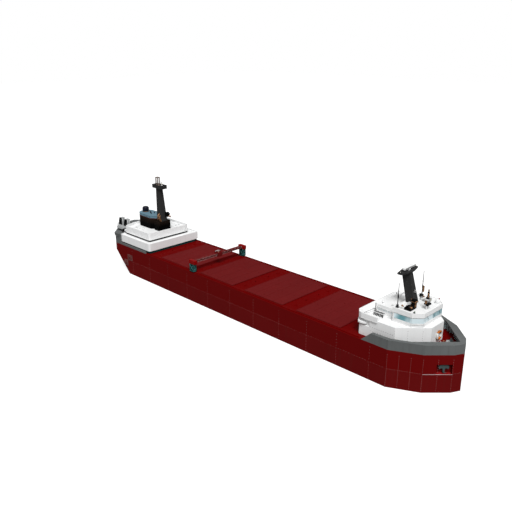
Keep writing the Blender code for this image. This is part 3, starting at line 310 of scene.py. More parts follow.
# The recessed plinth under the lower tier: painted shade, a dark teal that copies the shaded look of the recess, raised
# somewhat so that the real shade there leaves it teal rather than black.
PLINTH_PAINTED_SHADE = coat("plinth_painted_shade", (0.012, 0.11, 0.112), 0.6, 0.1, vary=0.15, streak=0.05)
FUNNEL_BLACK = coat("funnel_paint", (0.0008, 0.0008, 0.0008), 0.6, 0.02, vary=0.2, streak=0.1,
                    plates=("wall", 0.3, 0.115), dirt=(0.008, 0.005, 0.003), line_tone=2.2,
                    fade=(13.4, 15.3, (0.016, 0.01, 0.007)))
MAST_BLACK = coat("mast_paint", (0.026, 0.026, 0.026), 0.55, 0.1, vary=0.15, streak=0.15, rust=0.05,
                  plates=("wall", 0.9, 0.225), line_tone=0.6)
BAND_BLUE = coat("band_paint", (0.115, 0.205, 0.26), 0.5, 0.12, vary=0.07, streak=0.12,
                 plates=("wall", 0.3, 0.9), line_tone=0.8)
LEG_CORE = coat("leg_core_paint", (0.012, 0.04, 0.04), 0.6, 0.05, vary=0.3, rust=0.25)
CRANE_TEAL = coat("crane_paint", (0.045, 0.2, 0.19), 0.5, 0.2, vary=0.15, rust=0.2)
CRANE_CORE = coat("crane_core_paint", (0.115, 0.006, 0.006), 0.6, 0.05, vary=0.2, rust=0.3)
CHORD_PALE = coat("chord_paint", (0.27, 0.17, 0.165), 0.5, 0.2, vary=0.15, rust=0.2)
CAP_RED = coat("cap_paint", (0.2, 0.001, 0.001), 0.5, 0.06, vary=0.1, rust=0.1)
STEEL_DARK = coat("fitting_steel", (0.022, 0.024, 0.026), 0.45, 0.35, metal=0.3, vary=0.25, rust=0.2)
ANCHOR_STEEL = coat("anchor_steel", (0.06, 0.085, 0.085), 0.5, 0.3, metal=0.3, vary=0.3, rust=0.35)
NAVY_CAP = coat("cap_navy", (0.004, 0.0045, 0.012), 0.38, 0.25, vary=0.3, streak=0.1)
BLACK_RUBBER = coat("black_rubber", (0.002, 0.002, 0.0022), 0.7, 0.06, vary=0.3, streak=0.0)
RUST_BROWN = coat("rusted_bars", (0.15, 0.06, 0.055), 0.75, 0.1, vary=0.3, rust=0.4)
LINE_BROWN = coat("line_paint", (0.065, 0.014, 0.008), 0.55, 0.1, vary=0.3)
SEAM_GREY = coat("seam_sealer", (0.2, 0.2, 0.2), 0.7, 0.1, vary=0.3)
WELD_PALE = coat("weld_beads", (0.3, 0.14, 0.135), 0.6, 0.1, vary=0.35, rust=0.3)
ROPE_HEMP = coat("rope_hemp", (0.32, 0.24, 0.14), 0.85, 0.1, vary=0.25, streak=0.0, grain=0.002)
BRASS = bare_metal("aged_brass", (0.38, 0.2, 0.1))
BRONZE = bare_metal("propeller_bronze", (0.48, 0.27, 0.1), 0.3, (0.05, 0.035, 0.015), 0.35)
GREY_ENAMEL = coat("grey_enamel", (0.3, 0.3, 0.3), 0.4, 0.4, vary=0.12, streak=0.1)
POLE_PAINT = coat("light_pole_paint", (0.72, 0.72, 0.72), 0.45, 0.2, vary=0.1,
                  bands=((15.5, 16.1, (0.003, 0.003, 0.003)), (16.95, 17.4, (0.004, 0.004, 0.004)), (17.4, 18.1, (0.25, 0.24, 0.23)),
                         (18.1, 19.0, (0.17, 0.07, 0.02))))
LANTERN_BROWN = coat("lantern_brown", (0.2, 0.15, 0.125), 0.5, 0.3, vary=0.35)
BRIDGE_GLASS = glazing("bridge_glass", (0.66, 0.78, 0.82), (0.12, 0.3, 0.34), 0.0, 0.12, 4.0)
PORT_GLASS = glazing("porthole_glass", (0.16, 0.24, 0.27), (0.04, 0.07, 0.08), 0.0)
LAMP_GLASS = glazing("lamp_glass", (0.8, 0.78, 0.7), (0.6, 0.58, 0.5), 0.2)
SIDE_GREEN = glazing("starboard_lamp_glass", (0.02, 0.25, 0.08), (0.01, 0.12, 0.04), 0.2)
SIDE_RED = glazing("port_lamp_glass", (0.35, 0.01, 0.01), (0.15, 0.005, 0.005), 0.2)
RING_PLACE = Vector((49.246, 0.4, 9.6)) * MODULE
RING_PAINT = banded_ring("ring_paint", RING_PLACE, (0.52, 0.125, 0.002), (0.8, 0.8, 0.78))

NODE_PAINT = {
    "hull_": HULL_RED, "cross_deck_": DECK_RED, "rudder": HULL_RED, "crane_rail_": DECK_RED,
    "hatch_cover_": HATCH_RED, "bow_bulwark": BULWARK_GREY, "stern_bulwark": BULWARK_GREY,
    "aft_house_plinth": PLINTH_PAINTED_SHADE, "aft_house_upper": HOUSE_WHITE_GROOVE_SHADE, "funnel_casing": FUNNEL_BLACK,
    "funnel_band": BAND_BLUE, "mast_house": FUNNEL_BLACK, "aft_mast": MAST_BLACK,
    "forward_mast": MAST_BLACK, "exhaust_cap": NAVY_CAP, "aft_lantern_frame": LANTERN_BROWN,
    "vent_platform_": PLATFORM_GREY, "crane_leg_": LEG_CORE, "crane_beam": CRANE_CORE,
    "crane_cap_": CAP_RED, "crane_trolley": CRANE_CORE, "anchor_": ANCHOR_STEEL,
    "windlass": PLATFORM_GREY, "searchlight": POLE_PAINT, "signal_bank": BLACK_RUBBER,
    "skylight": TRIM_WHITE, "whip_aerial_": STEEL_DARK, "helm_console": GREY_ENAMEL,
    "pilothouse_glass": BRIDGE_GLASS, "propeller": BRONZE, "life_ring": RING_PAINT,
    "satellite_dome": TRIM_WHITE, "radar_": TRIM_WHITE, "pilothouse_door": TRIM_WHITE,
}


def paint_nodes():
    for name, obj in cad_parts.items():
        material = HOUSE_WHITE
        for start, choice in NODE_PAINT.items():
            if name.startswith(start):
                material = choice
        obj.data.materials.clear()
        obj.data.materials.append(material)


class Kit:
    """Collects small shapes, laid out in modules, into one joined mesh."""

    def __init__(self):
        self.mesh = bmesh.new()
        self.slots = []
        self.slot = 0

    def use(self, material):
        """The shapes added from here on take this material."""
        if material not in self.slots:
            self.slots.append(material)
        self.slot = self.slots.index(material)
        return self

    def _mark(self, verts, smooth=False):
        for face in {face for vert in verts for face in vert.link_faces}:
            face.material_index = self.slot
            face.smooth = smooth

    def box(self, low, high, bevel=0.0, frame_matrix=None):
        centre = (Vector(low) + Vector(high)) / 2
        size = Vector(high) - Vector(low)
        matrix = Matrix.Translation(centre) @ Matrix.Diagonal((*size, 1.0))
        if frame_matrix is not None:
            matrix = frame_matrix @ matrix
        verts = bmesh.ops.create_cube(self.mesh, size=1.0, matrix=matrix)["verts"]
        if bevel:
            edges = list({edge for vert in verts for edge in vert.link_edges})
            made = bmesh.ops.bevel(self.mesh, geom=edges, offset=bevel, segments=2, affect="EDGES", profile=0.6)
            verts = made["verts"]
        self._mark(verts)
        return self

    def rod(self, start, end, radius, sides=8, tip=None, smooth=True):
        start, end = Vector(start), Vector(end)
        along = end - start
        matrix = Matrix.Translation((start + end) / 2) @ along.to_track_quat("Z", "Y").to_matrix().to_4x4()
        verts = bmesh.ops.create_cone(
            self.mesh, cap_ends=True, segments=sides, radius1=radius,
            radius2=radius if tip is None else tip, depth=along.length, matrix=matrix,
        )["verts"]
        self._mark(verts)
        if smooth:
            for face in {face for vert in verts for face in vert.link_faces}:
                face.smooth = len(face.verts) == 4
        return self

    def pipe(self, points, radius, sides=8):
        for start, end in zip(points, points[1:]):
            self.rod(start, end, radius, sides)
        for point in points[1:-1]:
            self.ball(point, (radius, radius, radius), sides, max(4, sides // 2))
        return self

    def ball(self, centre, radii, segments=12, rings=8):
        matrix = Matrix.Translation(Vector(centre)) @ Matrix.Diagonal((*radii, 1.0))
        made = bmesh.ops.create_uvsphere(
            self.mesh, u_segments=segments, v_segments=rings, radius=1.0, matrix=matrix
        )
        self._mark(made["verts"], True)
        return self

    def torus(self, frame_matrix, reach, wire, around=16, section=6):
        """A ring or a long link: reach is its half length and half width, wire its thickness."""
        loops = []
        for i in range(around):
            a = 2 * math.pi * i / around
            loop = []
            for j in range(section):
                b = 2 * math.pi * j / section
                swell = wire * math.cos(b)
                local = Vector(((reach[0] + swell) * math.cos(a), (reach[1] + swell) * math.sin(a),
                                wire * math.sin(b)))
                loop.append(self.mesh.verts.new(frame_matrix @ local))
            loops.append(loop)
        for i, loop in enumerate(loops):
            after = loops[(i + 1) % around]
            for j in range(section):
                k = (j + 1) % section
                face = self.mesh.faces.new((loop[j], after[j], after[k], loop[k]))
                face.material_index = self.slot
                face.smooth = True
        return self

    def ring(self, centre, axis, major, minor, around=16, section=6):
        turn = Vector(axis).to_track_quat("Z", "Y").to_matrix().to_4x4()
        return self.torus(Matrix.Translation(Vector(centre)) @ turn, (major, major), minor, around, section)

    def slab(self, points, offset):
        """A prism: a flat polygon and its copy, moved by the offset."""
        near = [self.mesh.verts.new(point) for point in points]
        far = [self.mesh.verts.new(Vector(point) + Vector(offset)) for point in points]
        faces = [self.mesh.faces.new(list(reversed(near))), self.mesh.faces.new(far)]
        for i, vert in enumerate(near):
            j = (i + 1) % len(near)
            faces.append(self.mesh.faces.new((vert, near[j], far[j], far[i])))
        for face in faces:
            face.material_index = self.slot
        return self

    def piece(self, name, body):
        """The finished mesh object, in metres, riding on a CAD body."""
        self.mesh.transform(Matrix.Scale(MODULE, 4))
        bmesh.ops.recalc_face_normals(self.mesh, faces=self.mesh.faces)
        data = bpy.data.meshes.new(name)
        self.mesh.to_mesh(data)
        self.mesh.free()
        for material in self.slots:
            data.materials.append(material)
        obj = bpy.data.objects.new(name, data)
        bpy.context.scene.collection.objects.link(obj)
        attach(obj, body)
        return obj


def facing(point, outward):
    """A frame on a wall: X along it, Y up, Z outward."""
    outward = Vector((*outward, 0.0)).normalized()
    up = Vector((0.0, 0.0, 1.0))
    along = up.cross(outward)
    matrix = Matrix.Identity(4)
    for column, axis in enumerate((along, up, outward)):
        matrix.col[column] = (*axis, 0.0)
    matrix.translation = Vector(point)
    return matrix


def porthole(kit, point, outward, radius=0.19):
    """A round window with a raised rim, a brass inner ring and a recessed pane."""
    point, normal = Vector(point), Vector((*outward, 0.0)).normalized()
    kit.use(TRIM_WHITE).ring(point + normal * 0.015, normal, radius, 0.045, 16, 6)
    kit.use(PORT_GLASS).rod(point + normal * 0.002, point + normal * 0.014, radius, 16, smooth=False)
    kit.use(BRASS).ring(point + normal * 0.02, normal, radius * 0.84, 0.016, 16, 4)


def portholes(kit, start, end, outward, count, radius=0.19):
    start, end = Vector(start), Vector(end)
    for index in range(count):
        share = (index + 0.5) / count
        porthole(kit, start.lerp(end, share), outward, radius)


def wall_door(kit, point, outward, width=0.95, height=1.45):
    """A weather door with a raised frame, a small pane, hinges, a handle and a sill."""
    matrix = facing(point, outward)
    half = width / 2
    kit.use(TRIM_WHITE)
    for low, high in (((-half - 0.07, 0, 0), (-half, height, 0.06)), ((half, 0, 0), (half + 0.07, height, 0.06)),
                      ((-half - 0.07, height, 0), (half + 0.07, height + 0.07, 0.06))):
        kit.box(low, high, 0.012, matrix)
    kit.use(HOUSE_WHITE).box((-half, 0.02, 0.0), (half, height, 0.035), 0.01, matrix)
    kit.use(PORT_GLASS).box((-0.14, height * 0.62, 0.03), (0.14, height * 0.85, 0.045), 0.0, matrix)
    kit.use(BRASS).box((half - 0.16, height * 0.47, 0.035), (half - 0.05, height * 0.5, 0.085), 0.008, matrix)
    kit.use(STEEL_DARK)
    for share in (0.18, 0.5, 0.82):
        kit.box((-half - 0.03, height * share - 0.05, 0.03), (-half + 0.1, height * share + 0.05, 0.07), 0.0, matrix)
    kit.use(GREY_ENAMEL).box((-half - 0.1, -0.05, 0.0), (half + 0.1, 0.02, 0.14), 0.01, matrix)


def ladder(kit, foot, head, across, rungs, width=0.34, radius=0.028):
    """Two stiles and evenly spaced rungs between two points; across is the rung direction."""
    foot, head = Vector(foot), Vector(head)
    side = Vector(across).normalized() * width / 2
    for sign in (-1, 1):
        kit.rod(foot + side * sign, head + side * sign, radius, 6)
    for index in range(rungs):
        middle = foot.lerp(head, (index + 0.5) / rungs)
        kit.rod(middle - side, middle + side, radius * 0.8, 6)


def railing(kit, points, height, wires=2, pitch=1.1, radius=0.03, foot=0.0):
    """Stanchions along a path with a top rail and lower wires."""
    for start, end in zip(points, points[1:]):
        start, end = Vector(start), Vector(end)
        count = max(1, round((end - start).length / pitch))
        for index in range(count + 1):
            post = start.lerp(end, index / count)
            kit.rod(post + Vector((0, 0, foot)), post + Vector((0, 0, height)), radius, 6)
        for level in range(wires + 1):
            lift = Vector((0, 0, height - level * (height - foot) / (wires + 1)))
            kit.rod(start + lift, end + lift, radius if level == 0 else radius * 0.6, 6)


def bollards(kit, point, along, deck):
    """A pair of mooring posts with caps on one base plate."""
    centre = Vector((*point, deck))
    along = Vector((*along, 0.0)).normalized()
    kit.use(ANCHOR_STEEL)
    turn = facing((*point, deck), (-along.y, along.x))
    kit.box((-0.62, 0.0, -0.24), (0.62, 0.07, 0.24), 0.02, turn)
    for sign in (-1, 1):
        foot = centre + along * 0.34 * sign
        up = Vector((0, 0, 1))
        kit.rod(foot + up * 0.04, foot + up * 0.5, 0.13, 14)
        kit.rod(foot + up * 0.46, foot + up * 0.55, 0.18, 14)
        kit.rod(foot + up * 0.55, foot + up * 0.6, 0.18, 14, tip=0.1)


def mushroom_vent(kit, x, y, deck, height=0.6, radius=0.16):
    kit.rod((x, y, deck), (x, y, deck + height), radius, 14)
    kit.rod((x, y, deck + height * 0.8), (x, y, deck + height), radius * 1.7, 16)
    kit.ball((x, y, deck + height), (radius * 1.7, radius * 1.7, radius * 0.7), 16, 8)
    kit.rod((x, y, deck), (x, y, deck + 0.05), radius * 1.4, 14)


def chain(kit, points, link=0.13, wire=0.032):
    """A stud chain: links turned a quarter from one to the next, along a path."""
    turn = 0
    for start, end in zip(points, points[1:]):
        start, end = Vector(start), Vector(end)
        along = (end - start).normalized()
        side = along.cross(Vector((0, 0, 1)))
        side = side.normalized() if side.length > 0.01 else Vector((0, 1, 0))
        up = side.cross(along)
        count = max(1, int((end - start).length / (link * 1.35)))
        for index in range(count):
            centre = start.lerp(end, (index + 0.5) / count)
            axis = side if turn % 2 else up
            turn += 1
            turned = Matrix((along, axis.cross(along), axis)).transposed().to_4x4()
            turned.translation = centre
            kit.torus(turned, (link, link * 0.6), wire, 10, 5)


def weld_line(kit, start, end, dash=0.16, gap=0.14, radius=0.022):
    """A stitched bead: short welds with gaps, from one point to another."""
    start, end = Vector(start), Vector(end)
    along = (end - start).normalized()
    count = int((end - start).length / (dash + gap))
    for index in range(count):
        at = start + along * (index + 0.5) * (dash + gap)
        kit.rod(at - along * dash / 2, at + along * dash / 2, radius, 5)


def bow_point(x, side):
    """A point on the bow's side in plan, for a place along the ship."""
    for (x0, y0), (x1, y1) in zip(BOW_PLAN, BOW_PLAN[1:]):
        if x0 <= x <= x1:
            return Vector((x, side * (y0 + (y1 - y0) * (x - x0) / (x1 - x0)), 0.0))
    return Vector((x, side * HALF_BEAM, 0.0))


def make_hull_seams():
    """Stitch welds: upright at every second module of the bow, every eighth along the sides, and one level."""
    kit = Kit().use(WELD_PALE)
    skin = 0.006
    for side in (-1, 1):
        for x in (44.0, 46.0, 48.0, 50.0, 52.0, 53.98):
            foot = bow_point(x, side) + Vector((skin, side * skin, 0.0))
            weld_line(kit, foot + Vector((0, 0, 0.2)), foot + Vector((0, 0, 7.6)), 0.2, 0.3, 0.03)
        for x in range(-40, 44, 8):
            foot = Vector((x, side * (HALF_BEAM + skin), 0.0))
            weld_line(kit, foot + Vector((0, 0, 0.2)), foot + Vector((0, 0, 7.8)), 0.16, 0.5, 0.024)
        for (x0, y0), (x1, y1) in zip(BOW_PLAN, BOW_PLAN[1:]):
            if x0 == 50.0:
                continue
            weld_line(kit, (x0 + skin, side * (y0 + skin), 4.0), (x1 + skin, side * (y1 + skin), 4.0), 0.16, 0.3, 0.024)
        weld_line(kit, (-43.0, side * (HALF_BEAM + skin), 4.0), (44.0, side * (HALF_BEAM + skin), 4.0), 0.16, 0.5, 0.02)
    kit.piece("hull_weld_seams", "ship")


def make_hull_details():
    """Rusted gratings on both quarters, a rubbing bar at the bow and gear in the anchor pockets."""
    kit = Kit()
    for side in (-1, 1):
        for x0, x1, z0, z1 in ((-42.35, -40.2, 4.2, 5.8), (-44.0, -42.45, 2.3, 3.95)):
            skin = HALF_BEAM + 0.004
            y0, y1 = sorted((side * skin, side * (skin + 0.12)))
            kit.use(RUST_BROWN)
            for low, high in (((x0, z0), (x1, z0 + 0.12)), ((x0, z1 - 0.12), (x1, z1)),
                              ((x0, z0), (x0 + 0.12, z1)), ((x1 - 0.12, z0), (x1, z1))):
                kit.box((low[0], y0, low[1]), (high[0], y1, high[1]), 0.015)
            bars = 6
            for index in range(1, bars):
                x = x0 + (x1 - x0) * index / bars
                kit.rod((x, side * (skin + 0.06), z0), (x, side * (skin + 0.06), z1), 0.036, 8)
            for share in (0.33, 0.67):
                z = z0 + (z1 - z0) * share
                kit.rod((x0, side * (skin + 0.07), z), (x1, side * (skin + 0.07), z), 0.036, 6)
    kit.piece("quarter_gratings", "ship")
    # The rubbing bars take the pale paint, a painted highlight along the seam.
    kit = Kit().use(BOW_BAR_PAINTED_HIGHLIGHT)
    for side in (-1, 1):
        start, end = Vector((50.0, side * 6.0, 3.93)), Vector((53.98, side * 2.02, 3.93))
        out = Vector((1.0, side, 0.0)).normalized() * 0.01
        kit.rod(start + out, end + out, 0.05, 10)
    kit.piece("bow_rubbing_bars", "ship")
    kit = Kit().use(ANCHOR_STEEL)
    for side in (-1, 1):
        turn = facing((52.85, side * 3.15, 5.0), (1.0, side))
        kit.ring(turn @ Vector((0.0, -0.78, -0.22)), turn.to_3x3() @ Vector((1.0, 0.0, 0.0)), 0.14, 0.04, 14, 6)
        chain(kit, [turn @ Vector((0.0, -0.86, -0.2)), turn @ Vector((0.55, -0.9, -0.5))], 0.11, 0.03)
        for sign in (-1, 1):
            kit.rod(turn @ Vector((0.3 * sign, 0.55, -0.3)), turn @ Vector((0.3 * sign, 0.55, -0.25)), 0.09, 12)
        kit.box((-0.32, 0.42, -0.31), (0.32, 0.68, -0.24), 0.03, turn)
    kit.piece("anchor_pocket_fittings", "ship")
    # Lining plates and stays inside the bow bulwark, in the pale paint: painted light on a wall that the lip shades.
    kit = Kit().use(LINING_PALE_PAINTED_LIGHT)
    depth = 0.34
    for side in (-1, 1):
        for (x0, y0), (x1, y1) in zip(BOW_PLAN, BOW_PLAN[1:3]):
            start, end = Vector((x0, side * y0, 0.0)), Vector((x1, side * y1, 0.0))
            along = (end - start).normalized()
            inward = Vector((-abs(along.y), -side * along.x, 0.0))
            level = Vector((0.0, 0.0, DECK + 0.01))
            start, end = start + along * 0.5 + inward * depth + level, end - along * 0.5 + inward * depth + level
            kit.slab([start, end, end + Vector((0, 0, 1.5)), start + Vector((0, 0, 1.5))], inward * 0.03)
            stays = 6
            for index in range(stays):
                foot = start.lerp(end, (index + 0.5) / stays) + inward * 0.03
                kit.slab([foot, foot + inward * 0.5, foot + inward * 0.12 + Vector((0, 0, 1.45)),
                          foot + Vector((0, 0, 1.45))], along * 0.06)
    kit.piece("bow_bulwark_stays", "ship")


def make_deck_gear():
    """Mooring posts, chains, capstan and manholes on the open decks."""
    kit = Kit()
    for side in (-1, 1):
        bollards(kit, (46.6, side * 5.75), (2.0, -side), DECK)
        bollards(kit, (50.9, side * 2.5), (1.0, -side), DECK)
        bollards(kit, (-50.9, side * 2.0), (0.0, 1.0), DECK)
    kit.piece("mooring_posts", "ship")
    kit = Kit().use(ANCHOR_STEEL)
    for side in (-1, 1):
        y = side * 0.42
        kit.rod((52.55, y, DECK), (52.55, y, DECK + 0.12), 0.24, 16)
        kit.ring((52.55, y, DECK + 0.12), (0, 0, 1), 0.2, 0.06, 16, 6)
        chain(kit, [(51.32, y, DECK + 0.72), (51.75, y, DECK + 0.42), (52.5, y, DECK + 0.14)], 0.12, 0.033)
        kit.ring((51.0, side * 1.19, DECK + 0.62), (0, 1, 0), 0.36, 0.05, 20, 6)
        kit.rod((51.0, side * 1.16, DECK + 0.62), (51.0, side * 1.5, DECK + 0.62), 0.13, 14)
        kit.rod((51.0, side * 1.44, DECK + 0.62), (51.0, side * 1.56, DECK + 0.62), 0.24, 14)
    kit.use(BRASS).rod((50.55, 0.0, DECK + 0.25), (50.55, 0.0, DECK + 0.95), 0.05, 10)
    kit.ring((50.55, 0.0, DECK + 0.98), (0, 0, 1), 0.2, 0.03, 16, 6)
    kit.use(TRIM_WHITE).box((49.75, -0.3, DECK + 0.005), (50.2, 0.3, DECK + 0.5), 0.05)
    kit.piece("anchor_chains", "ship")
    kit = Kit().use(ANCHOR_STEEL)
    for z, radius, tip in ((0.0, 0.42, 0.36), (0.12, 0.26, 0.2), (0.5, 0.2, 0.34), (0.68, 0.34, 0.3)):
        kit.rod((-50.0, 0.0, DECK + z), (-50.0, 0.0, DECK + z + 0.2), radius, 20, tip)
    for index in range(8):
        a = math.pi * index / 4
        spot = Vector((-50.0 + 0.27 * math.cos(a), 0.27 * math.sin(a), DECK + 0.2))
        kit.rod(spot, spot + Vector((0, 0, 0.4)), 0.035, 6)
    kit.use(STEEL_DARK).box((-52.6, -0.45, DECK + 0.004), (-51.8, 0.45, DECK + 0.3), 0.05)
    kit.ring((-52.2, 0.0, DECK + 0.32), (0, 0, 1), 0.16, 0.03, 14, 5)
    kit.piece("stern_capstan", "ship")
    kit = Kit().use(DECK_RED)
    for x in (-30.4, -14.0, 2.0, 18.0, 33.8):
        for side in (-1, 1):
            spot = Vector((x, side * 5.6, DECK + 0.002))
            kit.rod(spot, spot + Vector((0, 0, 0.05)), 0.36, 24)
            kit.rod(spot, spot + Vector((0, 0, 0.075)), 0.28, 24)
            for index in range(10):
                a = 2 * math.pi * index / 10
                bolt = spot + Vector((0.32 * math.cos(a), 0.32 * math.sin(a), 0.045))
                kit.rod(bolt, bolt + Vector((0, 0, 0.025)), 0.022, 6)
            kit.box((x - 0.1, side * 5.6 - 0.02, DECK + 0.07), (x + 0.1, side * 5.6 + 0.02, DECK + 0.11), 0.008)
            kit.rod((x, side * 2.2, DECK + 0.002), (x, side * 2.2, DECK + 0.22), 0.07, 10)
            kit.rod((x, side * 2.2, DECK + 0.17), (x, side * 2.2, DECK + 0.24), 0.11, 10)
    kit.piece("deck_manholes", "ship")


def make_hatch_details():
    """Edge beads, joint beads and lifting eyes, one set riding on each hatch cover."""
    for number, (aft, fore) in enumerate(HATCHES, start=1):
        kit = Kit().use(HATCH_RED)
        top, half, edge, thick = HATCH_TOP - 0.004, HATCH_HALF - 0.18, 0.18, 0.032
        for side in (-1, 1):
            y0, y1 = sorted((side * half, side * (half - 0.1)))
            kit.box((aft + edge, y0, top), (fore - edge, y1, top + thick), 0.01)
        for x in (aft + edge, fore - edge - 0.1):
            kit.box((x, -half + 0.1, top), (x + 0.1, half - 0.1, top + thick), 0.01)
        for index in range(1, 4):
            x = aft + (fore - aft) * index / 4
            kit.box((x - 0.07, -half + 0.12, top), (x + 0.07, half - 0.12, top + thick), 0.012)
        for x in (aft + 1.5, (aft + fore) / 2 - 0.75, (aft + fore) / 2 + 0.75, fore - 1.5):
            for y in (-6.6, -2.3, 2.3, 6.6):
                kit.box((x - 0.13, y - 0.09, top), (x + 0.13, y + 0.09, top + 0.035), 0.01)
                kit.ring((x, y, top + 0.06), (0, 1, 0), 0.065, 0.02, 12, 5)
        kit.piece(f"hatch_{number}_beads", f"hatch_{number}")


def make_hatch_clamps():
    """Toggle clamps on the deck along both ends of every hatch."""
    kit = Kit().use(DECK_RED)
    for aft, fore in HATCHES:
        for x, inward in ((aft - 0.1, 1), (fore + 0.1, -1)):
            for index in range(14):
                y = -7.15 + 14.3 * index / 13
                kit.box((x - 0.05, y - 0.05, DECK + 0.002), (x + 0.05, y + 0.05, DECK + 0.11), 0.008)
                kit.rod((x, y - 0.08, DECK + 0.12), (x, y + 0.08, DECK + 0.12), 0.025, 6)
                kit.rod((x, y, DECK + 0.12), (x - inward * 0.2, y, DECK + 0.06), 0.02, 6)
    kit.piece("hatch_clamps", "ship")


def make_aft_house_details():
    """Portholes and door aft, vents, ladders and plate joints on the two tiers of the engine house."""
    kit = Kit()
    for side in (-1, 1):
        porthole(kit, (NOTCH_BACK - 0.002, side * 3.9, 9.75), (-1, 0))
        porthole(kit, (NOTCH_BACK - 0.002, side * 1.9, 9.75), (-1, 0))
        porthole(kit, (-47.152, side * 2.1, 12.2), (-1, 0))
    wall_door(kit, (NOTCH_BACK - 0.002, 0.0, 8.84), (-1, 0))
    kit.piece("aft_portholes", "ship")
    kit = Kit().use(TRIM_WHITE)
    roof = AFT_ROOF_2 + 0.002
    for x, y in ((-43.8, 4.6), (-41.4, 4.9), (-37.4, 4.6), (-43.8, -4.6), (-37.2, 5.6)):
        mushroom_vent(kit, x, y, roof, 0.5)
    for side in (-1, 1):
        kit.box((-42.6, side * 3.9 - 0.6, roof), (-41.2, side * 3.9 + 0.6, roof + 0.3), 0.06)
        kit.box((-42.5, side * 3.9 - 0.5, roof + 0.28), (-41.3, side * 3.9 + 0.5, roof + 0.36), 0.03)
        for step in range(3):
            x = -42.2 + step * 0.3
            kit.rod((x, side * 3.9 - 0.4, roof + 0.37), (x, side * 3.9 + 0.4, roof + 0.37), 0.02, 6)
    kit.piece("aft_roof_vents", "ship")
    kit = Kit().use(TRIM_WHITE)
    ladder(kit, (NOTCH_BACK - 0.16, 4.9, 8.02), (NOTCH_BACK - 0.16, 4.9, AFT_ROOF_1 + 0.35), (0, 1, 0), 9)
    ladder(kit, (-48.26, -4.6, AFT_ROOF_1 + 0.02), (-48.26, -4.6, 11.5), (0, 1, 0), 4)
    ladder(kit, (UPPER_FRONT + 0.14, 5.6, AFT_ROOF_1 + 0.02), (UPPER_FRONT + 0.14, 5.6, AFT_TIER_2 + 0.1), (0, 1, 0), 9)
    kit.piece("aft_ladders", "ship")
    kit = Kit().use(SEAM_GREY)
    for side in (-1, 1):
        for x, y, z0, z1 in ((-42.0, AFT_HALF, 8.9, 10.8), (-38.0, AFT_HALF, 8.9, 10.8),
                             (-34.0, AFT_HALF, 8.9, 10.8), (-42.0, UPPER_HALF, 11.0, 12.85),
                             (-38.0, UPPER_HALF, 11.0, 12.85)):
            weld_line(kit, (x, side * (y + 0.003), z0), (x, side * (y + 0.003), z1), 0.1, 0.3, 0.014)
        for x, y, z0, z1 in ((AFT_FRONT, 6.0, 8.9, 10.8), (AFT_FRONT, 2.0, 8.9, 10.8),
                             (UPPER_FRONT, 4.0, 11.0, 12.85), (UPPER_FRONT, 1.0, 11.0, 12.85)):
            weld_line(kit, (x + 0.003, side * y, z0), (x + 0.003, side * y, z1), 0.1, 0.3, 0.014)
    kit.piece("aft_house_seams", "ship")


def trunk_side(front, side, inset):
    """The outboard face of a ventilator trunk, drawn in by an inset, as points on the face."""
    y = side * 5.352
    low, high = 12.0 + inset, 14.1 - inset
    back = [front - 1.9 + (z - 11.86) * TRUNK_RAKE + inset for z in (low, high)]
    return [Vector((back[0], y, low)), Vector((front - inset, y, low)),
            Vector((front - inset, y, high)), Vector((back[1], y, high))]


def make_vent_details():
    """Black louvred intakes on the outboard faces of the ventilator trunks, and rails round their platforms."""
    kit = Kit()
    for side in (-1, 1):
        for front in (-49.9, -47.3):
            corners = trunk_side(front, side, 0.0)
            out = Vector((0.0, side, 0.0))
            kit.use(BLACK_RUBBER).slab(corners, out * 0.02)
            slats = 9
            for index in range(slats):
                share = (index + 0.5) / slats
                left, right = corners[0].lerp(corners[3], share), corners[1].lerp(corners[2], share)
                kit.slab([left, right, right + Vector((0, side * 0.07, -0.07)),
                          left + Vector((0, side * 0.07, -0.07))], Vector((0, 0, 0.05)))
            kit.use(TRIM_WHITE)
            for y in (4.5, 5.15):
                kit.rod((front + 0.01, side * y, 12.3), (front + 0.01, side * y, 13.9), 0.03, 6)
        edge = [(-51.2, side * 3.7), (-51.2, side * 5.55), (-49.46, side * 7.3), (-47.3, side * 7.3)]
        kit.use(PLATFORM_GREY)
        railing(kit, [(x, y, 12.002) for x, y in edge], 0.8, 2, 0.9, 0.022)
    kit.piece("ventilator_louvres", "ship")


def funnel_loop(out):
    """The funnel's outline in plan, moved outwards, listed anticlockwise."""
    half = FUNNEL_HALF + out
    centre = FUNNEL_BACK + FUNNEL_HALF
    steps = 16
    round_end = [math.radians(90.0 + 180.0 * step / steps) for step in range(steps + 1)]
    loop = [(centre + half * math.cos(a), half * math.sin(a)) for a in round_end]
    front = [(FUNNEL_FRONT, FUNNEL_FRONT_HALF + out), (FUNNEL_SHOULDER, half)]
    return loop + [(x, -y) for x, y in reversed(front)] + front


def hoop(kit, out, low, high, thick):
    """A band round the funnel between two heights."""
    outer, inner = funnel_loop(out + thick), funnel_loop(out)
    count = len(outer)
    for index in range(count):
        after = (index + 1) % count
        if abs(outer[index][0] - FUNNEL_FRONT) < 0.01 and abs(outer[after][0] - FUNNEL_FRONT) < 0.01:
            continue
        points = [inner[index], outer[index], outer[after], inner[after]]
        kit.slab([Vector((x, y, low)) for x, y in points], Vector((0.0, 0.0, high - low)))


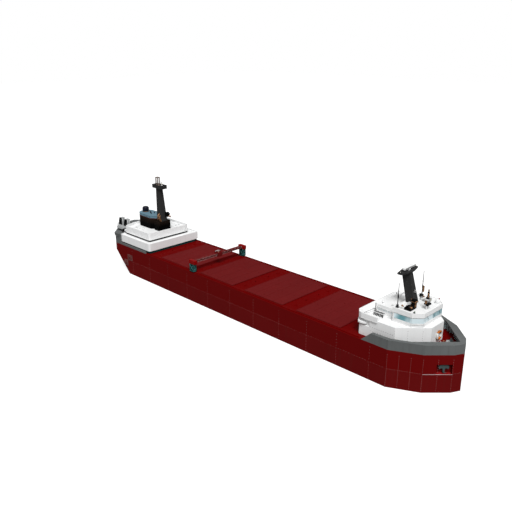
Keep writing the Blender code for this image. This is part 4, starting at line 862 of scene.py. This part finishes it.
def make_funnel_details():
    """Pinstripe and rims, rungs, exhaust pipes and handrail of the funnel."""
    kit = Kit().use(LINE_BROWN)
    hoop(kit, 0.003, 15.16, 15.33, 0.03)
    kit.piece("funnel_pinstripe", "ship")
    kit = Kit().use(BAND_BLUE)
    hoop(kit, 0.0, 15.9, 15.985, 0.035)
    for x, y, radius, height in ((-43.0, 0.0, 0.2, 0.42), (-41.9, 0.55, 0.14, 0.34), (-41.9, -0.55, 0.14, 0.34)):
        kit.use(NAVY_CAP).rod((x, y, BAND_TOP + 0.002), (x, y, BAND_TOP + height), radius, 18)
        kit.ring((x, y, BAND_TOP + height), (0, 0, 1), radius * 0.92, 0.03, 18, 6)
    kit.use(BRASS).ring((-45.3, 0.0, BAND_TOP + 0.06), (0, 0, 1), 0.97, 0.05, 32, 8)
    kit.use(FUNNEL_BLACK)
    ladder(kit, (-42.2, 2.3, 12.3), (-42.2, 2.3, 15.9), (1, 0, 0), 15, 0.3, 0.025)
    kit.use(STEEL_DARK)
    for x in (-44.6, -42.0, -40.4):
        for side in (-1, 1):
            kit.ring((x, side * 2.24, 15.6), (0, 1, 0), 0.08, 0.02, 12, 5)
    kit.piece("funnel_fittings", "ship")


def make_aft_mast_details():
    """Brass steam pipes and horn, rungs, platform rail, and the lamps of the after mast."""
    kit = Kit().use(BRASS)
    for x, top in ((-38.02, 16.5), (-37.55, 16.9), (-37.05, 16.3)):
        y = -1.02
        kit.pipe([(x, y - 0.12, 14.82), (x, y - 0.06, top), (x + 0.12, -0.86, top + 0.16)], 0.1, 10)
        kit.ring((x, y - 0.1, 15.3), (0, 0, 1), 0.12, 0.035, 14, 6)
        kit.ring((x, y - 0.08, 16.0), (0, 0, 1), 0.12, 0.035, 14, 6)
    kit.box((-38.25, -1.2, 15.5), (-36.75, -0.95, 15.66), 0.03)
    kit.box((-36.98, -1.22, 14.82), (-36.55, -0.98, 15.5), 0.04)
    kit.ring((-37.55, -1.2, 16.35), (0, 1, 0), 0.2, 0.035, 16, 6)
    kit.rod((-37.72, -1.2, 16.35), (-37.38, -1.2, 16.35), 0.025, 6)
    kit.piece("mast_steam_pipes", "ship")
    kit = Kit().use(BLACK_RUBBER).box((-36.6, 0.35, 15.95), (-35.95, 1.35, 17.3), 0.07)
    kit.box((-36.9, 0.45, 16.3), (-36.55, 0.85, 16.7), 0.03)
    kit.rod((-35.98, 1.0, 16.85), (-35.55, 1.1, 16.85), 0.24, 16, 0.3)
    kit.use(BRASS)
    kit.rod((-35.95, 0.95, 16.25), (-35.3, 1.25, 16.15), 0.1, 14, 0.27)
    kit.ring((-35.3, 1.25, 16.15), (0.65, 0.3, -0.1), 0.26, 0.03, 18, 6)
    kit.box((-36.3, 1.33, 15.9), (-36.0, 1.42, 16.6), 0.02)
    kit.piece("mast_horn", "ship")
    kit = Kit().use(STEEL_DARK)
    ladder(kit, (-38.62, 0.0, 14.9), (-39.16, 0.0, 24.0), (0, 1, 0), 30, 0.42, 0.03)
    for z in (16.0, 18.5, 21.0, 23.3):
        back = -38.5 - 0.6 * (z - 14.8) / 9.25
        for y in (-0.21, 0.21):
            kit.rod((back - 0.1, y, z), (back + 0.02, y, z), 0.025, 6)
    kit.piece("aft_mast_rungs", "ship")
    kit = Kit().use(TRIM_WHITE)
    kit.rod((-37.8, 0.66, 24.702), (-37.8, 0.66, 24.85), 0.26, 16)
    kit.use(LAMP_GLASS).rod((-37.8, 0.66, 24.85), (-37.8, 0.66, 25.5), 0.2, 16)
    kit.use(TRIM_WHITE).rod((-37.8, 0.66, 25.5), (-37.8, 0.66, 25.72), 0.25, 16, 0.08)
    kit.rod((-38.7, 0.0, 25.22), (-38.7, 0.0, 25.36), 0.2, 16)
    kit.use(LAMP_GLASS).rod((-38.7, 0.0, 25.36), (-38.7, 0.0, 26.55), 0.17, 16)
    kit.use(TRIM_WHITE).rod((-38.7, 0.0, 26.55), (-38.7, 0.0, 26.88), 0.19, 16, 0.08)
    kit.piece("aft_mast_lamps", "ship")
    kit = Kit().use(LANTERN_BROWN)
    reach = 0.43
    for x in (-reach, reach):
        for y in (-reach, reach):
            kit.rod((-38.7 + x, y, 24.702), (-38.7 + x, y, 27.0), 0.085, 8)
    for z, radius in ((24.78, 0.1), (26.98, 0.07)):
        for sign in (-1, 1):
            kit.rod((-38.7 - reach, sign * reach, z), (-38.7 + reach, sign * reach, z), radius, 8)
            kit.rod((-38.7 + sign * reach, -reach, z), (-38.7 + sign * reach, reach, z), radius, 8)
    kit.piece("lantern_posts", "ship")
    kit = Kit().use(MAST_BLACK)
    low, high, plate = 24.702, 25.06, 0.07
    for side in (-1, 1):
        y0, y1 = sorted((side * 1.0, side * (1.0 - plate)))
        kit.box((-40.08, y0, low), (-35.92, y1, high), 0.012)
    for x in (-40.08, -35.92 - plate):
        kit.box((x, -1.0 + plate, low), (x + plate, 1.0 - plate, high), 0.012)
    kit.piece("mast_head_coaming", "ship")


def make_forward_house_details():
    """Portholes and doors aft, plate joints, the posts and rails at the chart room, and its windows."""
    kit = Kit()
    for y in (-4.1, -0.8, 0.8, 4.1):
        porthole(kit, (FORE_BACK - 0.002, y, 9.35), (-1, 0), 0.16)
    for y in (-2.45, 2.45):
        wall_door(kit, (FORE_BACK - 0.002, y, 8.06), (-1, 0))
    kit.piece("forward_doors", "ship")
    kit = Kit().use(SEAM_GREY)
    for side in (-1, 1):
        wall = side * (FORE_HALF + 0.004)
        weld_line(kit, (38.4, wall, 10.3), (44.0, wall, 10.3), 0.2, 0.3, 0.03)
        weld_line(kit, (38.4, wall, 9.5), (44.0, wall, 9.5), 0.16, 0.4, 0.024)
        base, tip = Vector((FORE_SHOULDER, wall, 0.0)), Vector((FORE_FRONT[0], side * FORE_FRONT[1], 0.0))
        for share in (0.0, 0.36, 0.77):
            foot = base.lerp(tip, share) + Vector((0.004, side * 0.004, 0.0))
            weld_line(kit, foot + Vector((0, 0, 8.2)), foot + Vector((0, 0, 11.8)), 0.16, 0.3, 0.026)
    kit.piece("forward_house_seams", "ship")
    kit = Kit().use(GREY_ENAMEL)
    back, _, half, top = CHART
    kit.rod((back - 0.16, -half - 0.12, FORE_TOP + 0.003), (back - 0.16, -half - 0.12, 13.95), 0.13, 12)
    kit.rod((back - 0.16, half + 0.12, FORE_TOP + 0.003), (back - 0.16, half + 0.12, 13.95), 0.13, 12)
    kit.rod((back - 0.16, -half - 0.12, 12.84), (36.95, -7.08, 12.84), 0.05, 8)
    kit.rod((back - 0.16, half + 0.12, 12.84), (36.95, 7.08, 12.84), 0.05, 8)
    kit.piece("chart_room_posts", "ship")
    kit = Kit().use(BLACK_RUBBER)
    for index in range(7):
        x = 37.8 + index * 0.335
        kit.slab([(x, -5.106, 12.0), (x + 0.2, -5.106, 12.0), (x + 0.32, -5.106, 12.62), (x + 0.12, -5.106, 12.62)],
                 (0.0, -0.03, 0.0))
        kit.box((x - 0.02, -5.04, 12.703), (x + 0.16, -4.46, 12.76), 0.012)
    kit.box((37.7, -4.8, 12.702), (40.0, -4.7, 12.74), 0.01)
    kit.piece("skylight_slats", "ship")
    kit = Kit()
    for side in (-1, 1):
        count = 7 if side < 0 else 3
        first = 38.0 if side < 0 else 40.15
        for index in range(count):
            turn = facing((first + index * 0.58, side * (half + 0.002), 12.82), (0, side))
            kit.use(GREY_ENAMEL).box((-0.2, -0.13, 0.0), (0.2, 0.13, 0.025), 0.01, turn)
            kit.use(BRIDGE_GLASS).box((-0.15, -0.09, 0.02), (0.15, 0.09, 0.035), 0.0, turn)
        start = 37.6 if side < 0 else 40.0
        kit.use(TRIM_WHITE).rod((start, side * (half + 0.07), 13.15), (41.6, side * (half + 0.07), 13.15), 0.025, 6)
    for y in (-2.4, -0.8, 0.8, 2.4):
        turn = facing((back - 0.002, y, 12.85), (-1, 0))
        kit.use(GREY_ENAMEL).box((-0.42, -0.24, 0.0), (0.42, 0.24, 0.025), 0.01, turn)
        kit.use(BRIDGE_GLASS).box((-0.35, -0.18, 0.02), (0.35, 0.18, 0.035), 0.0, turn)
    kit.use(TRIM_WHITE)
    for x, y in ((38.3, 2.6), (40.4, -2.5), (38.3, -2.6), (40.6, 2.6)):
        mushroom_vent(kit, x, y, top + 0.002, 0.4, 0.13)
    kit.piece("chart_room_windows", "ship")


def make_pilothouse_details():
    """Window frames, panes, wipers and a handrail round the pilothouse, and gear inside it."""
    corners = [Vector((42.28, 4.9, 0.0)), Vector((46.15, 4.9, 0.0)), Vector((47.8, 3.4, 0.0)),
               Vector((47.8, -3.4, 0.0)), Vector((46.15, -4.9, 0.0)), Vector((42.28, -4.9, 0.0))]
    kit = Kit().use(TRIM_WHITE)
    for start, end in zip(corners, corners[1:]):
        along = (end - start).normalized()
        out = Vector((along.y, -along.x, 0.0)) * -1.0
        for z in (SILL - 0.03, WINDOW_TOP + 0.01):
            low = Vector((0.0, 0.0, z))
            kit.rod(start + low + out * 0.015, end + low + out * 0.015, 0.03, 6)
    kit.piece("pilothouse_window_frames", "ship")
    kit = Kit().use(BRIDGE_GLASS)
    for start, end in zip(corners, corners[1:]):
        along = (end - start).normalized()
        out = Vector((-along.y, along.x, 0.0))
        low, high = Vector((0.0, 0.0, SILL)), Vector((0.0, 0.0, WINDOW_TOP))
        start, end = start + out * 0.006, end + out * 0.006
        kit.slab([start + low, end + low, end + high, start + high], out * 0.016)
    kit.piece("pilothouse_panes", "ship")
    kit = Kit().use(BLACK_RUBBER)
    for y in (-2.2, 0.0, 2.2):
        kit.rod((47.86, y, WINDOW_TOP + 0.03), (47.87, y + 0.35, SILL + 0.35), 0.018, 6)
        kit.rod((47.88, y + 0.2, SILL + 0.2), (47.88, y + 0.45, SILL + 0.62), 0.014, 6)
    kit.use(TRIM_WHITE)
    for start, end in zip(corners, corners[1:]):
        along = (end - start).normalized()
        out = Vector((-along.y, along.x, 0.0)) * 0.09
        level = Vector((0.0, 0.0, 12.6))
        kit.rod(start + level + out, end + level + out, 0.024, 6)
        for index in range(6):
            spot = start.lerp(end, (index + 0.5) / 6) + level
            kit.rod(spot, spot + out, 0.016, 6)
    kit.piece("pilothouse_wipers", "ship")
    kit = Kit().use(BLACK_RUBBER)
    for y in (-1.0, 1.0):
        kit.rod((44.3, y, 12.26), (44.3, y, 12.7), 0.07, 10)
        kit.box((44.05, y - 0.28, 12.7), (44.6, y + 0.28, 12.82), 0.04)
        kit.box((43.98, y - 0.28, 12.8), (44.08, y + 0.28, 13.35), 0.04)
    kit.use(BRASS)
    wheel = Vector((45.05, 0.0, 13.15))
    kit.ring(wheel, (1, 0, 0), 0.36, 0.035, 24, 6)
    for index in range(4):
        a = math.pi * index / 4
        spoke = Vector((0.0, math.cos(a), math.sin(a))) * 0.46
        kit.rod(wheel - spoke, wheel + spoke, 0.018, 6)
    kit.rod(wheel, wheel + Vector((0.24, 0, 0)), 0.06, 10)
    kit.use(TRIM_WHITE)
    for y in (-1.1, -0.55, 0.55, 1.1):
        kit.box((45.4, y - 0.2, 13.456), (45.9, y + 0.2, 13.53), 0.02)
    kit.piece("pilothouse_interior", "ship")


def make_roof_details():
    """Lamps, horn, antennas and boxes on the bridge roof, round the foot of the mast."""
    roof = BRIDGE_ROOF + 0.003
    kit = Kit().use(GREY_ENAMEL)
    x, y = 46.95, -0.95
    kit.ring((x + 0.46, y, 16.8), (1, 0, 0), 0.4, 0.06, 20, 8)
    kit.use(LAMP_GLASS).rod((x + 0.44, y, 16.8), (x + 0.5, y, 16.8), 0.37, 20)
    kit.use(BRASS)
    kit.box((x - 0.32, y - 0.62, 16.05), (x + 0.1, y - 0.5, 16.6), 0.03)
    kit.rod((x, y, 17.5), (x, y, 18.1), 0.2, 12)
    kit.rod((x, y, 17.3), (x, y, 17.42), 0.26, 12)
    kit.box((x - 0.3, y + 0.2, 16.05), (x + 0.12, y + 0.42, 16.45), 0.03)
    kit.use(BLACK_RUBBER).box((x - 0.25, y - 0.3, 15.5), (x + 0.25, y + 0.3, 15.73), 0.03)
    kit.rod((x, y, 18.1), (x, y, 18.5), 0.24, 12, 0.1)
    kit.piece("searchlight_fittings", "ship")
    kit = Kit()
    for x, y, z, size, paint in (
        (44.05, -3.95, 15.2, (0.4, 0.45, 0.3), BLACK_RUBBER), (44.6, -3.85, 15.2, (0.35, 0.35, 0.42), STEEL_DARK),
        (44.1, -3.2, 15.2, (0.35, 0.5, 0.22), BLACK_RUBBER), (44.85, -3.15, 15.2, (0.35, 0.4, 0.55), BLACK_RUBBER),
        (43.55, -2.3, BRIDGE_ROOF, (0.55, 0.5, 0.75), TRIM_WHITE), (43.1, -1.6, BRIDGE_ROOF, (0.5, 0.4, 0.5), GREY_ENAMEL),
    ):
        kit.use(paint).box((x, y, z + 0.003), (x + size[0], y + size[1], z + size[2]), 0.04)
    kit.use(BRASS)
    for x, y, z, length in ((45.0, -3.9, 15.45, 0.4), (45.28, -2.6, 15.5, 0.1), (44.35, -2.6, 16.57, 0.1)):
        kit.rod((x, y, z), (x + length, y, z), 0.14, 14, 0.2)
        kit.ring((x + length, y, z), (1, 0, 0), 0.19, 0.03, 16, 6)
    for y in (-2.62, -2.35, -2.08):
        kit.rod((45.26, y, 15.0), (45.3, y, 16.3), 0.05, 8)
    kit.box((44.45, -2.8, 15.4), (45.3, -2.74, 15.52), 0.015)
    kit.box((44.45, -2.8, 16.1), (45.3, -2.74, 16.22), 0.015)
    kit.rod((43.75, -4.05, roof + 0.5), (43.35, -4.25, roof + 0.75), 0.09, 12, 0.2)
    kit.piece("signal_gear", "ship")
    kit = Kit().use(STEEL_DARK)
    ladder(kit, (42.14, 0.0, 14.9), (40.46, 0.0, 20.8), (0, 1, 0), 20, 0.4, 0.028)
    for z in (16.0, 18.0, 20.0):
        back = 42.22 - 1.77 * (z - 14.75) / 6.1
        for y in (-0.2, 0.2):
            kit.rod((back - 0.12, y, z), (back + 0.02, y, z), 0.024, 6)
    kit.piece("forward_mast_rungs", "ship")
    kit = Kit()
    for side, glass in ((-1, SIDE_GREEN), (1, SIDE_RED)):
        kit.use(BLACK_RUBBER).box((41.35, side * 2.72 - 0.12, 21.152), (41.85, side * 2.72 + 0.12, 21.2), 0.015)
        kit.use(LAMP_GLASS).rod((41.6, side * 2.72, 21.2), (41.6, side * 2.72, 21.45), 0.09, 12)
        kit.use(BLACK_RUBBER).rod((41.6, side * 2.72, 21.45), (41.6, side * 2.72, 21.52), 0.11, 12, 0.06)
        kit.use(STEEL_DARK).box((46.15, side * 4.55 - 0.15, roof), (46.55, side * 4.55 + 0.05, roof + 0.3), 0.02)
        kit.use(glass).rod((46.4, side * 4.5, roof + 0.3), (46.4, side * 4.5, roof + 0.5), 0.09, 12)
        kit.use(TRIM_WHITE).rod((41.2, side * 1.4, 21.152), (41.2, side * 1.4, 22.4), 0.035, 8, 0.02)
    kit.use(GREY_ENAMEL).box((43.35, -0.25, 17.0), (43.75, 0.25, 17.1), 0.02)
    kit.rod((43.55, 0.0, 17.1), (43.55, 0.0, 17.45), 0.14, 14)
    kit.use(TRIM_WHITE).rod((41.75, 0.0, 21.3), (41.75, 0.0, 21.46), 0.36, 20, 0.3)
    kit.piece("forward_lamps", "ship")
    kit = Kit()
    for name_y, x, top in ((-4.15, 42.42, 19.7), (3.7, 43.0, 20.3)):
        if name_y > 0:
            kit.use(BRASS).box((x + 0.1, name_y - 0.1, roof + 1.1), (x + 0.4, name_y + 0.12, roof + 2.4), 0.04)
            kit.rod((x + 0.1, name_y, roof + 0.3), (x + 0.62, name_y, roof + 0.15), 0.12, 10)
            kit.use(BLACK_RUBBER).box((x - 0.45, name_y - 0.2, roof), (x + 0.25, name_y + 0.25, roof + 0.55), 0.04)
        kit.use(BLACK_RUBBER).box((x - 0.32, name_y - 0.32, roof), (x + 0.32, name_y + 0.32, roof + 0.07), 0.02)
        kit.rod((x, name_y, roof + 1.9), (x, name_y, roof + 2.5), 0.12, 10)
        kit.use(GREY_ENAMEL).rod((x, name_y, roof + 3.2), (x, name_y, roof + 3.5), 0.12, 10)
    kit.piece("whip_aerial_feet", "ship")
    kit = Kit().use(TRIM_WHITE)
    kit.rod((46.9, 3.0, roof), (46.9, 3.0, roof + 0.08), 0.58, 24)
    kit.ring((46.9, 3.0, roof + 0.3), (0, 0, 1), 0.505, 0.02, 28, 6)
    kit.rod((45.2, 3.6, roof), (45.2, 3.6, roof + 1.2), 0.05, 8)
    kit.ball((45.2, 3.6, roof + 1.25), (0.14, 0.14, 0.1), 12, 8)
    kit.use(GREY_ENAMEL).box((44.2, 1.8, roof), (45.1, 2.6, roof + 0.35), 0.05)
    kit.rod((43.6, 2.2, roof), (43.6, 2.2, roof + 0.5), 0.07, 10)
    kit.rod((43.45, 2.2, roof + 0.5), (44.0, 2.2, roof + 0.55), 0.08, 12, 0.2)
    kit.piece("roof_instruments", "ship")


def make_life_ring_rope():
    """The grab rope round the ring buoy, its four lashings and its wall bracket."""
    centre = Vector((49.246, 0.4, 9.6))
    kit = Kit().use(ROPE_HEMP)
    steps = 48
    points = []
    for step in range(steps):
        a = 2 * math.pi * step / steps
        reach = 1.0 + 0.045 * abs(math.sin(2 * a))
        points.append(centre + Vector((0.03, reach * math.sin(a), reach * math.cos(a))))
    for start, end in zip(points, points[1:] + points[:1]):
        kit.rod(start, end, 0.022, 6)
    kit.use(BLACK_RUBBER)
    for index in range(4):
        a = math.pi / 2 * index + math.pi / 4
        middle = centre + Vector((0.0, math.sin(a), math.cos(a))) * 0.78
        kit.ring(middle, (0.0, math.cos(a), -math.sin(a)), 0.215, 0.03, 16, 5)
    kit.box((49.055, 0.1, 10.42), (49.2, 0.7, 10.52), 0.02)
    kit.box((49.055, 0.1, 8.62), (49.3, 0.7, 8.7), 0.02)
    kit.piece("life_ring_rope", "ship")


def lattice(kit, origin, right, up, bays, wire):
    """Zigzag bars, end posts and chords over a flat panel, which starts at the origin corner."""
    origin, right, up = Vector(origin), Vector(right), Vector(up)
    for index in range(bays):
        low, high = origin + right * index / bays, origin + right * (index + 1) / bays
        first, second = (low, high + up) if index % 2 else (low + up, high)
        kit.rod(first, second, wire, 6)
    for lift in (Vector((0, 0, 0)), up):
        kit.rod(origin + lift, origin + lift + right, wire * 1.3, 6)
    for step in (Vector((0, 0, 0)), right):
        kit.rod(origin + step, origin + step + up, wire * 1.3, 6)


def make_crane_details():
    """Lattice bars and wheels of the hatch crane, and the hoist on its trolley."""
    kit = Kit()
    for side in (-1, 1):
        y = side * CRANE_Y
        for offset in (-0.5, 0.5):
            kit.use(ANCHOR_STEEL)
            out = y + side * 0.4
            kit.rod((CRANE_X + offset, out, 8.3), (CRANE_X + offset, out + side * 0.03, 8.3), 0.13, 18)
            kit.ring((CRANE_X + offset, out + side * 0.02, 8.3), (0, 1, 0), 0.12, 0.02, 18, 5)
    kit.use(CHORD_PALE)
    for x in (CRANE_X - 0.37, CRANE_X + 0.37):
        lattice(kit, (x, -7.95, 10.38), (0, 15.9, 0), (0, 0, 0.54), 26, 0.024)
    kit.piece("crane_beam_lattice", "crane")
    kit = Kit().use(CRANE_TEAL)
    wide = 0.76
    for side in (-1, 1):
        inner, outer = side * (CRANE_Y - 0.42), side * (CRANE_Y + 0.45)
        for x in (CRANE_X - wide, CRANE_X + wide):
            for z in (8.2, 9.14):
                for start, end in ((inner, outer), (outer, inner)):
                    lattice(kit, (x, start, z), (0, end - start, 0), (0, 0, 0.94), 1, 0.05)
        for y in (inner, outer):
            for start, run in ((CRANE_X - wide, 2 * wide), (CRANE_X + wide, -2 * wide)):
                lattice(kit, (start, y, 8.2), (run, 0, 0), (0, 0, 1.88), 1, 0.05)
    kit.piece("crane_leg_lattice", "crane")
    kit = Kit().use(CHORD_PALE)
    top = 11.253
    kit.rod((CRANE_X, -0.5, top + 0.2), (CRANE_X, 0.5, top + 0.2), 0.17, 18)
    for y in (-0.52, -0.2, 0.12, 0.44):
        kit.ring((CRANE_X, y + 0.04, top + 0.2), (0, 1, 0), 0.19, 0.025, 18, 5)
    kit.use(PLATFORM_GREY).box((CRANE_X - 0.6, -0.6, top), (CRANE_X - 0.3, 0.6, top + 0.26), 0.04)
    kit.use(CRANE_CORE)
    kit.box((CRANE_X - 0.25, -0.62, top), (CRANE_X + 0.25, -0.54, top + 0.32), 0.02)
    kit.box((CRANE_X - 0.25, 0.54, top), (CRANE_X + 0.25, 0.62, top + 0.32), 0.02)
    kit.use(BRASS).rod((CRANE_X + 0.45, -0.3, top), (CRANE_X + 0.45, -0.3, top + 0.2), 0.07, 12)
    kit.piece("trolley_hoist", "trolley")


def make_running_gear_details():
    """Hub cap and nut of the propeller, zinc plates and straps of the rudder."""
    kit = Kit().use(BRONZE)
    kit.rod((-48.75, 0.0, 2.6), (-49.1, 0.0, 2.6), 0.46, 24, 0.12)
    kit.ring((-48.74, 0.0, 2.6), (1, 0, 0), 0.45, 0.035, 24, 6)
    for index in range(8):
        a = math.pi * index / 4
        kit.rod((-48.76, 0.36 * math.cos(a), 2.6 + 0.36 * math.sin(a)),
                (-48.84, 0.36 * math.cos(a), 2.6 + 0.36 * math.sin(a)), 0.035, 6)
    kit.piece("propeller_cap", "propeller_rotor")
    kit = Kit()
    for side in (-1, 1):
        kit.use(RUST_BROWN)
        for z in (1.2, 2.9, 4.6):
            kit.box((-53.0, side * 0.19 - 0.04, z), (-49.5, side * 0.19 + 0.11 * side + 0.04, z + 0.1), 0.015)
        kit.use(GREY_ENAMEL)
        for x, z in ((-51.2, 2.0), (-51.2, 3.8), (-52.2, 2.0)):
            kit.box((x - 0.3, side * 0.2 - 0.06, z), (x + 0.3, side * 0.2 + 0.14 * side + 0.02, z + 0.22), 0.03)
    kit.piece("rudder_plates", "rudder_blade")


def make_small_moving_details():
    kit = Kit().use(GREY_ENAMEL)
    kit.box((42.032, -1.7, 21.6), (42.045, 1.7, 21.85), 0.004)
    kit.box((41.455, -1.7, 21.6), (41.468, 1.7, 21.85), 0.004)
    kit.piece("radar_bar_strips", "radar")
    kit = Kit().use(BRASS)
    kit.rod((38.5, 3.604, 12.85), (38.5, 3.7, 12.85), 0.03, 8)
    kit.rod((38.5, 3.7, 12.85), (38.75, 3.7, 12.85), 0.028, 8)
    kit.use(GREY_ENAMEL).box((38.65, 3.602, 12.95), (39.3, 3.62, 13.22), 0.006)
    kit.use(BRIDGE_GLASS).box((38.7, 3.61, 12.99), (39.25, 3.628, 13.18), 0.0)
    kit.piece("bridge_door_fittings", "bridge_door")


def make_camera():
    data = bpy.data.cameras.new("camera")
    data.sensor_width = 36.0
    data.sensor_fit = "HORIZONTAL"
    data.angle = CAMERA_VIEW
    data.clip_end = 200.0
    camera = bpy.data.objects.new("camera", data)
    bpy.context.scene.collection.objects.link(camera)
    camera.location = CAMERA_PLACE
    camera.rotation_euler = (CAMERA_TARGET - CAMERA_PLACE).to_track_quat("-Z", "Y").to_euler()
    bpy.context.scene.camera = camera


def make_floor():
    """A pale floor that looks white, yet throws little light back at the model."""
    data = bpy.data.meshes.new("floor")
    reach = FLOOR_SIZE / 2
    data.from_pydata([(-reach, -reach, 0.0), (reach, -reach, 0.0), (reach, reach, 0.0), (-reach, reach, 0.0)],
                     [], [(0, 1, 2, 3)])
    floor = bpy.data.objects.new("floor", data)
    bpy.context.scene.collection.objects.link(floor)
    graph = Graph("floor")
    seen = graph.add("ShaderNodeLightPath").outputs["Is Camera Ray"]
    shade = graph.ramp(seen, 0.0, 1.0, FLOOR_BOUNCE, FLOOR_SEEN)
    mottle = graph.math("MULTIPLY", shade, graph.ramp(graph.noise(0.6), 0.3, 0.7, 0.99, 1.01))
    graph.link(mottle, graph.shader.inputs["Base Color"])
    graph.shader.inputs["Roughness"].default_value = 0.9
    graph.shader.inputs["Specular IOR Level"].default_value = 0.0
    graph.shader.inputs["Emission Color"].default_value = (1.0, 1.0, 1.0, 1.0)
    graph.link(graph.math("MULTIPLY", seen, FLOOR_GLOW), graph.shader.inputs["Emission Strength"])
    data.materials.append(graph.material)


def make_lights():
    """One broad soft sun, and a room that is pale to the model and white behind it."""
    world = bpy.data.worlds.new("studio")
    world.use_nodes = True
    tree = world.node_tree
    seen = tree.nodes.new("ShaderNodeLightPath").outputs["Is Camera Ray"]
    strength = tree.nodes.new("ShaderNodeMapRange")
    strength.inputs["To Min"].default_value = ROOM_LIGHT
    strength.inputs["To Max"].default_value = 1.0
    background = tree.nodes["Background"]
    background.inputs["Color"].default_value = (1.0, 1.0, 1.0, 1.0)
    tree.links.new(seen, strength.inputs["Value"])
    tree.links.new(strength.outputs["Result"], background.inputs["Strength"])
    bpy.context.scene.world = world
    sun = bpy.data.lights.new("key", "SUN")
    sun.energy = SUN_STRENGTH
    sun.angle = math.radians(SUN_ANGLE)
    lamp = bpy.data.objects.new("key", sun)
    lamp.rotation_euler = SUN_DIRECTION.to_track_quat("Z", "Y").to_euler()
    bpy.context.scene.collection.objects.link(lamp)
    bpy.context.scene.view_settings.view_transform = "Standard"


paint_nodes()
make_hull_seams()
make_hull_details()
make_deck_gear()
make_hatch_details()
make_hatch_clamps()
make_aft_house_details()
make_vent_details()
make_funnel_details()
make_aft_mast_details()
make_forward_house_details()
make_pilothouse_details()
make_roof_details()
make_life_ring_rope()
make_crane_details()
make_running_gear_details()
make_small_moving_details()
make_camera()
make_floor()
make_lights()
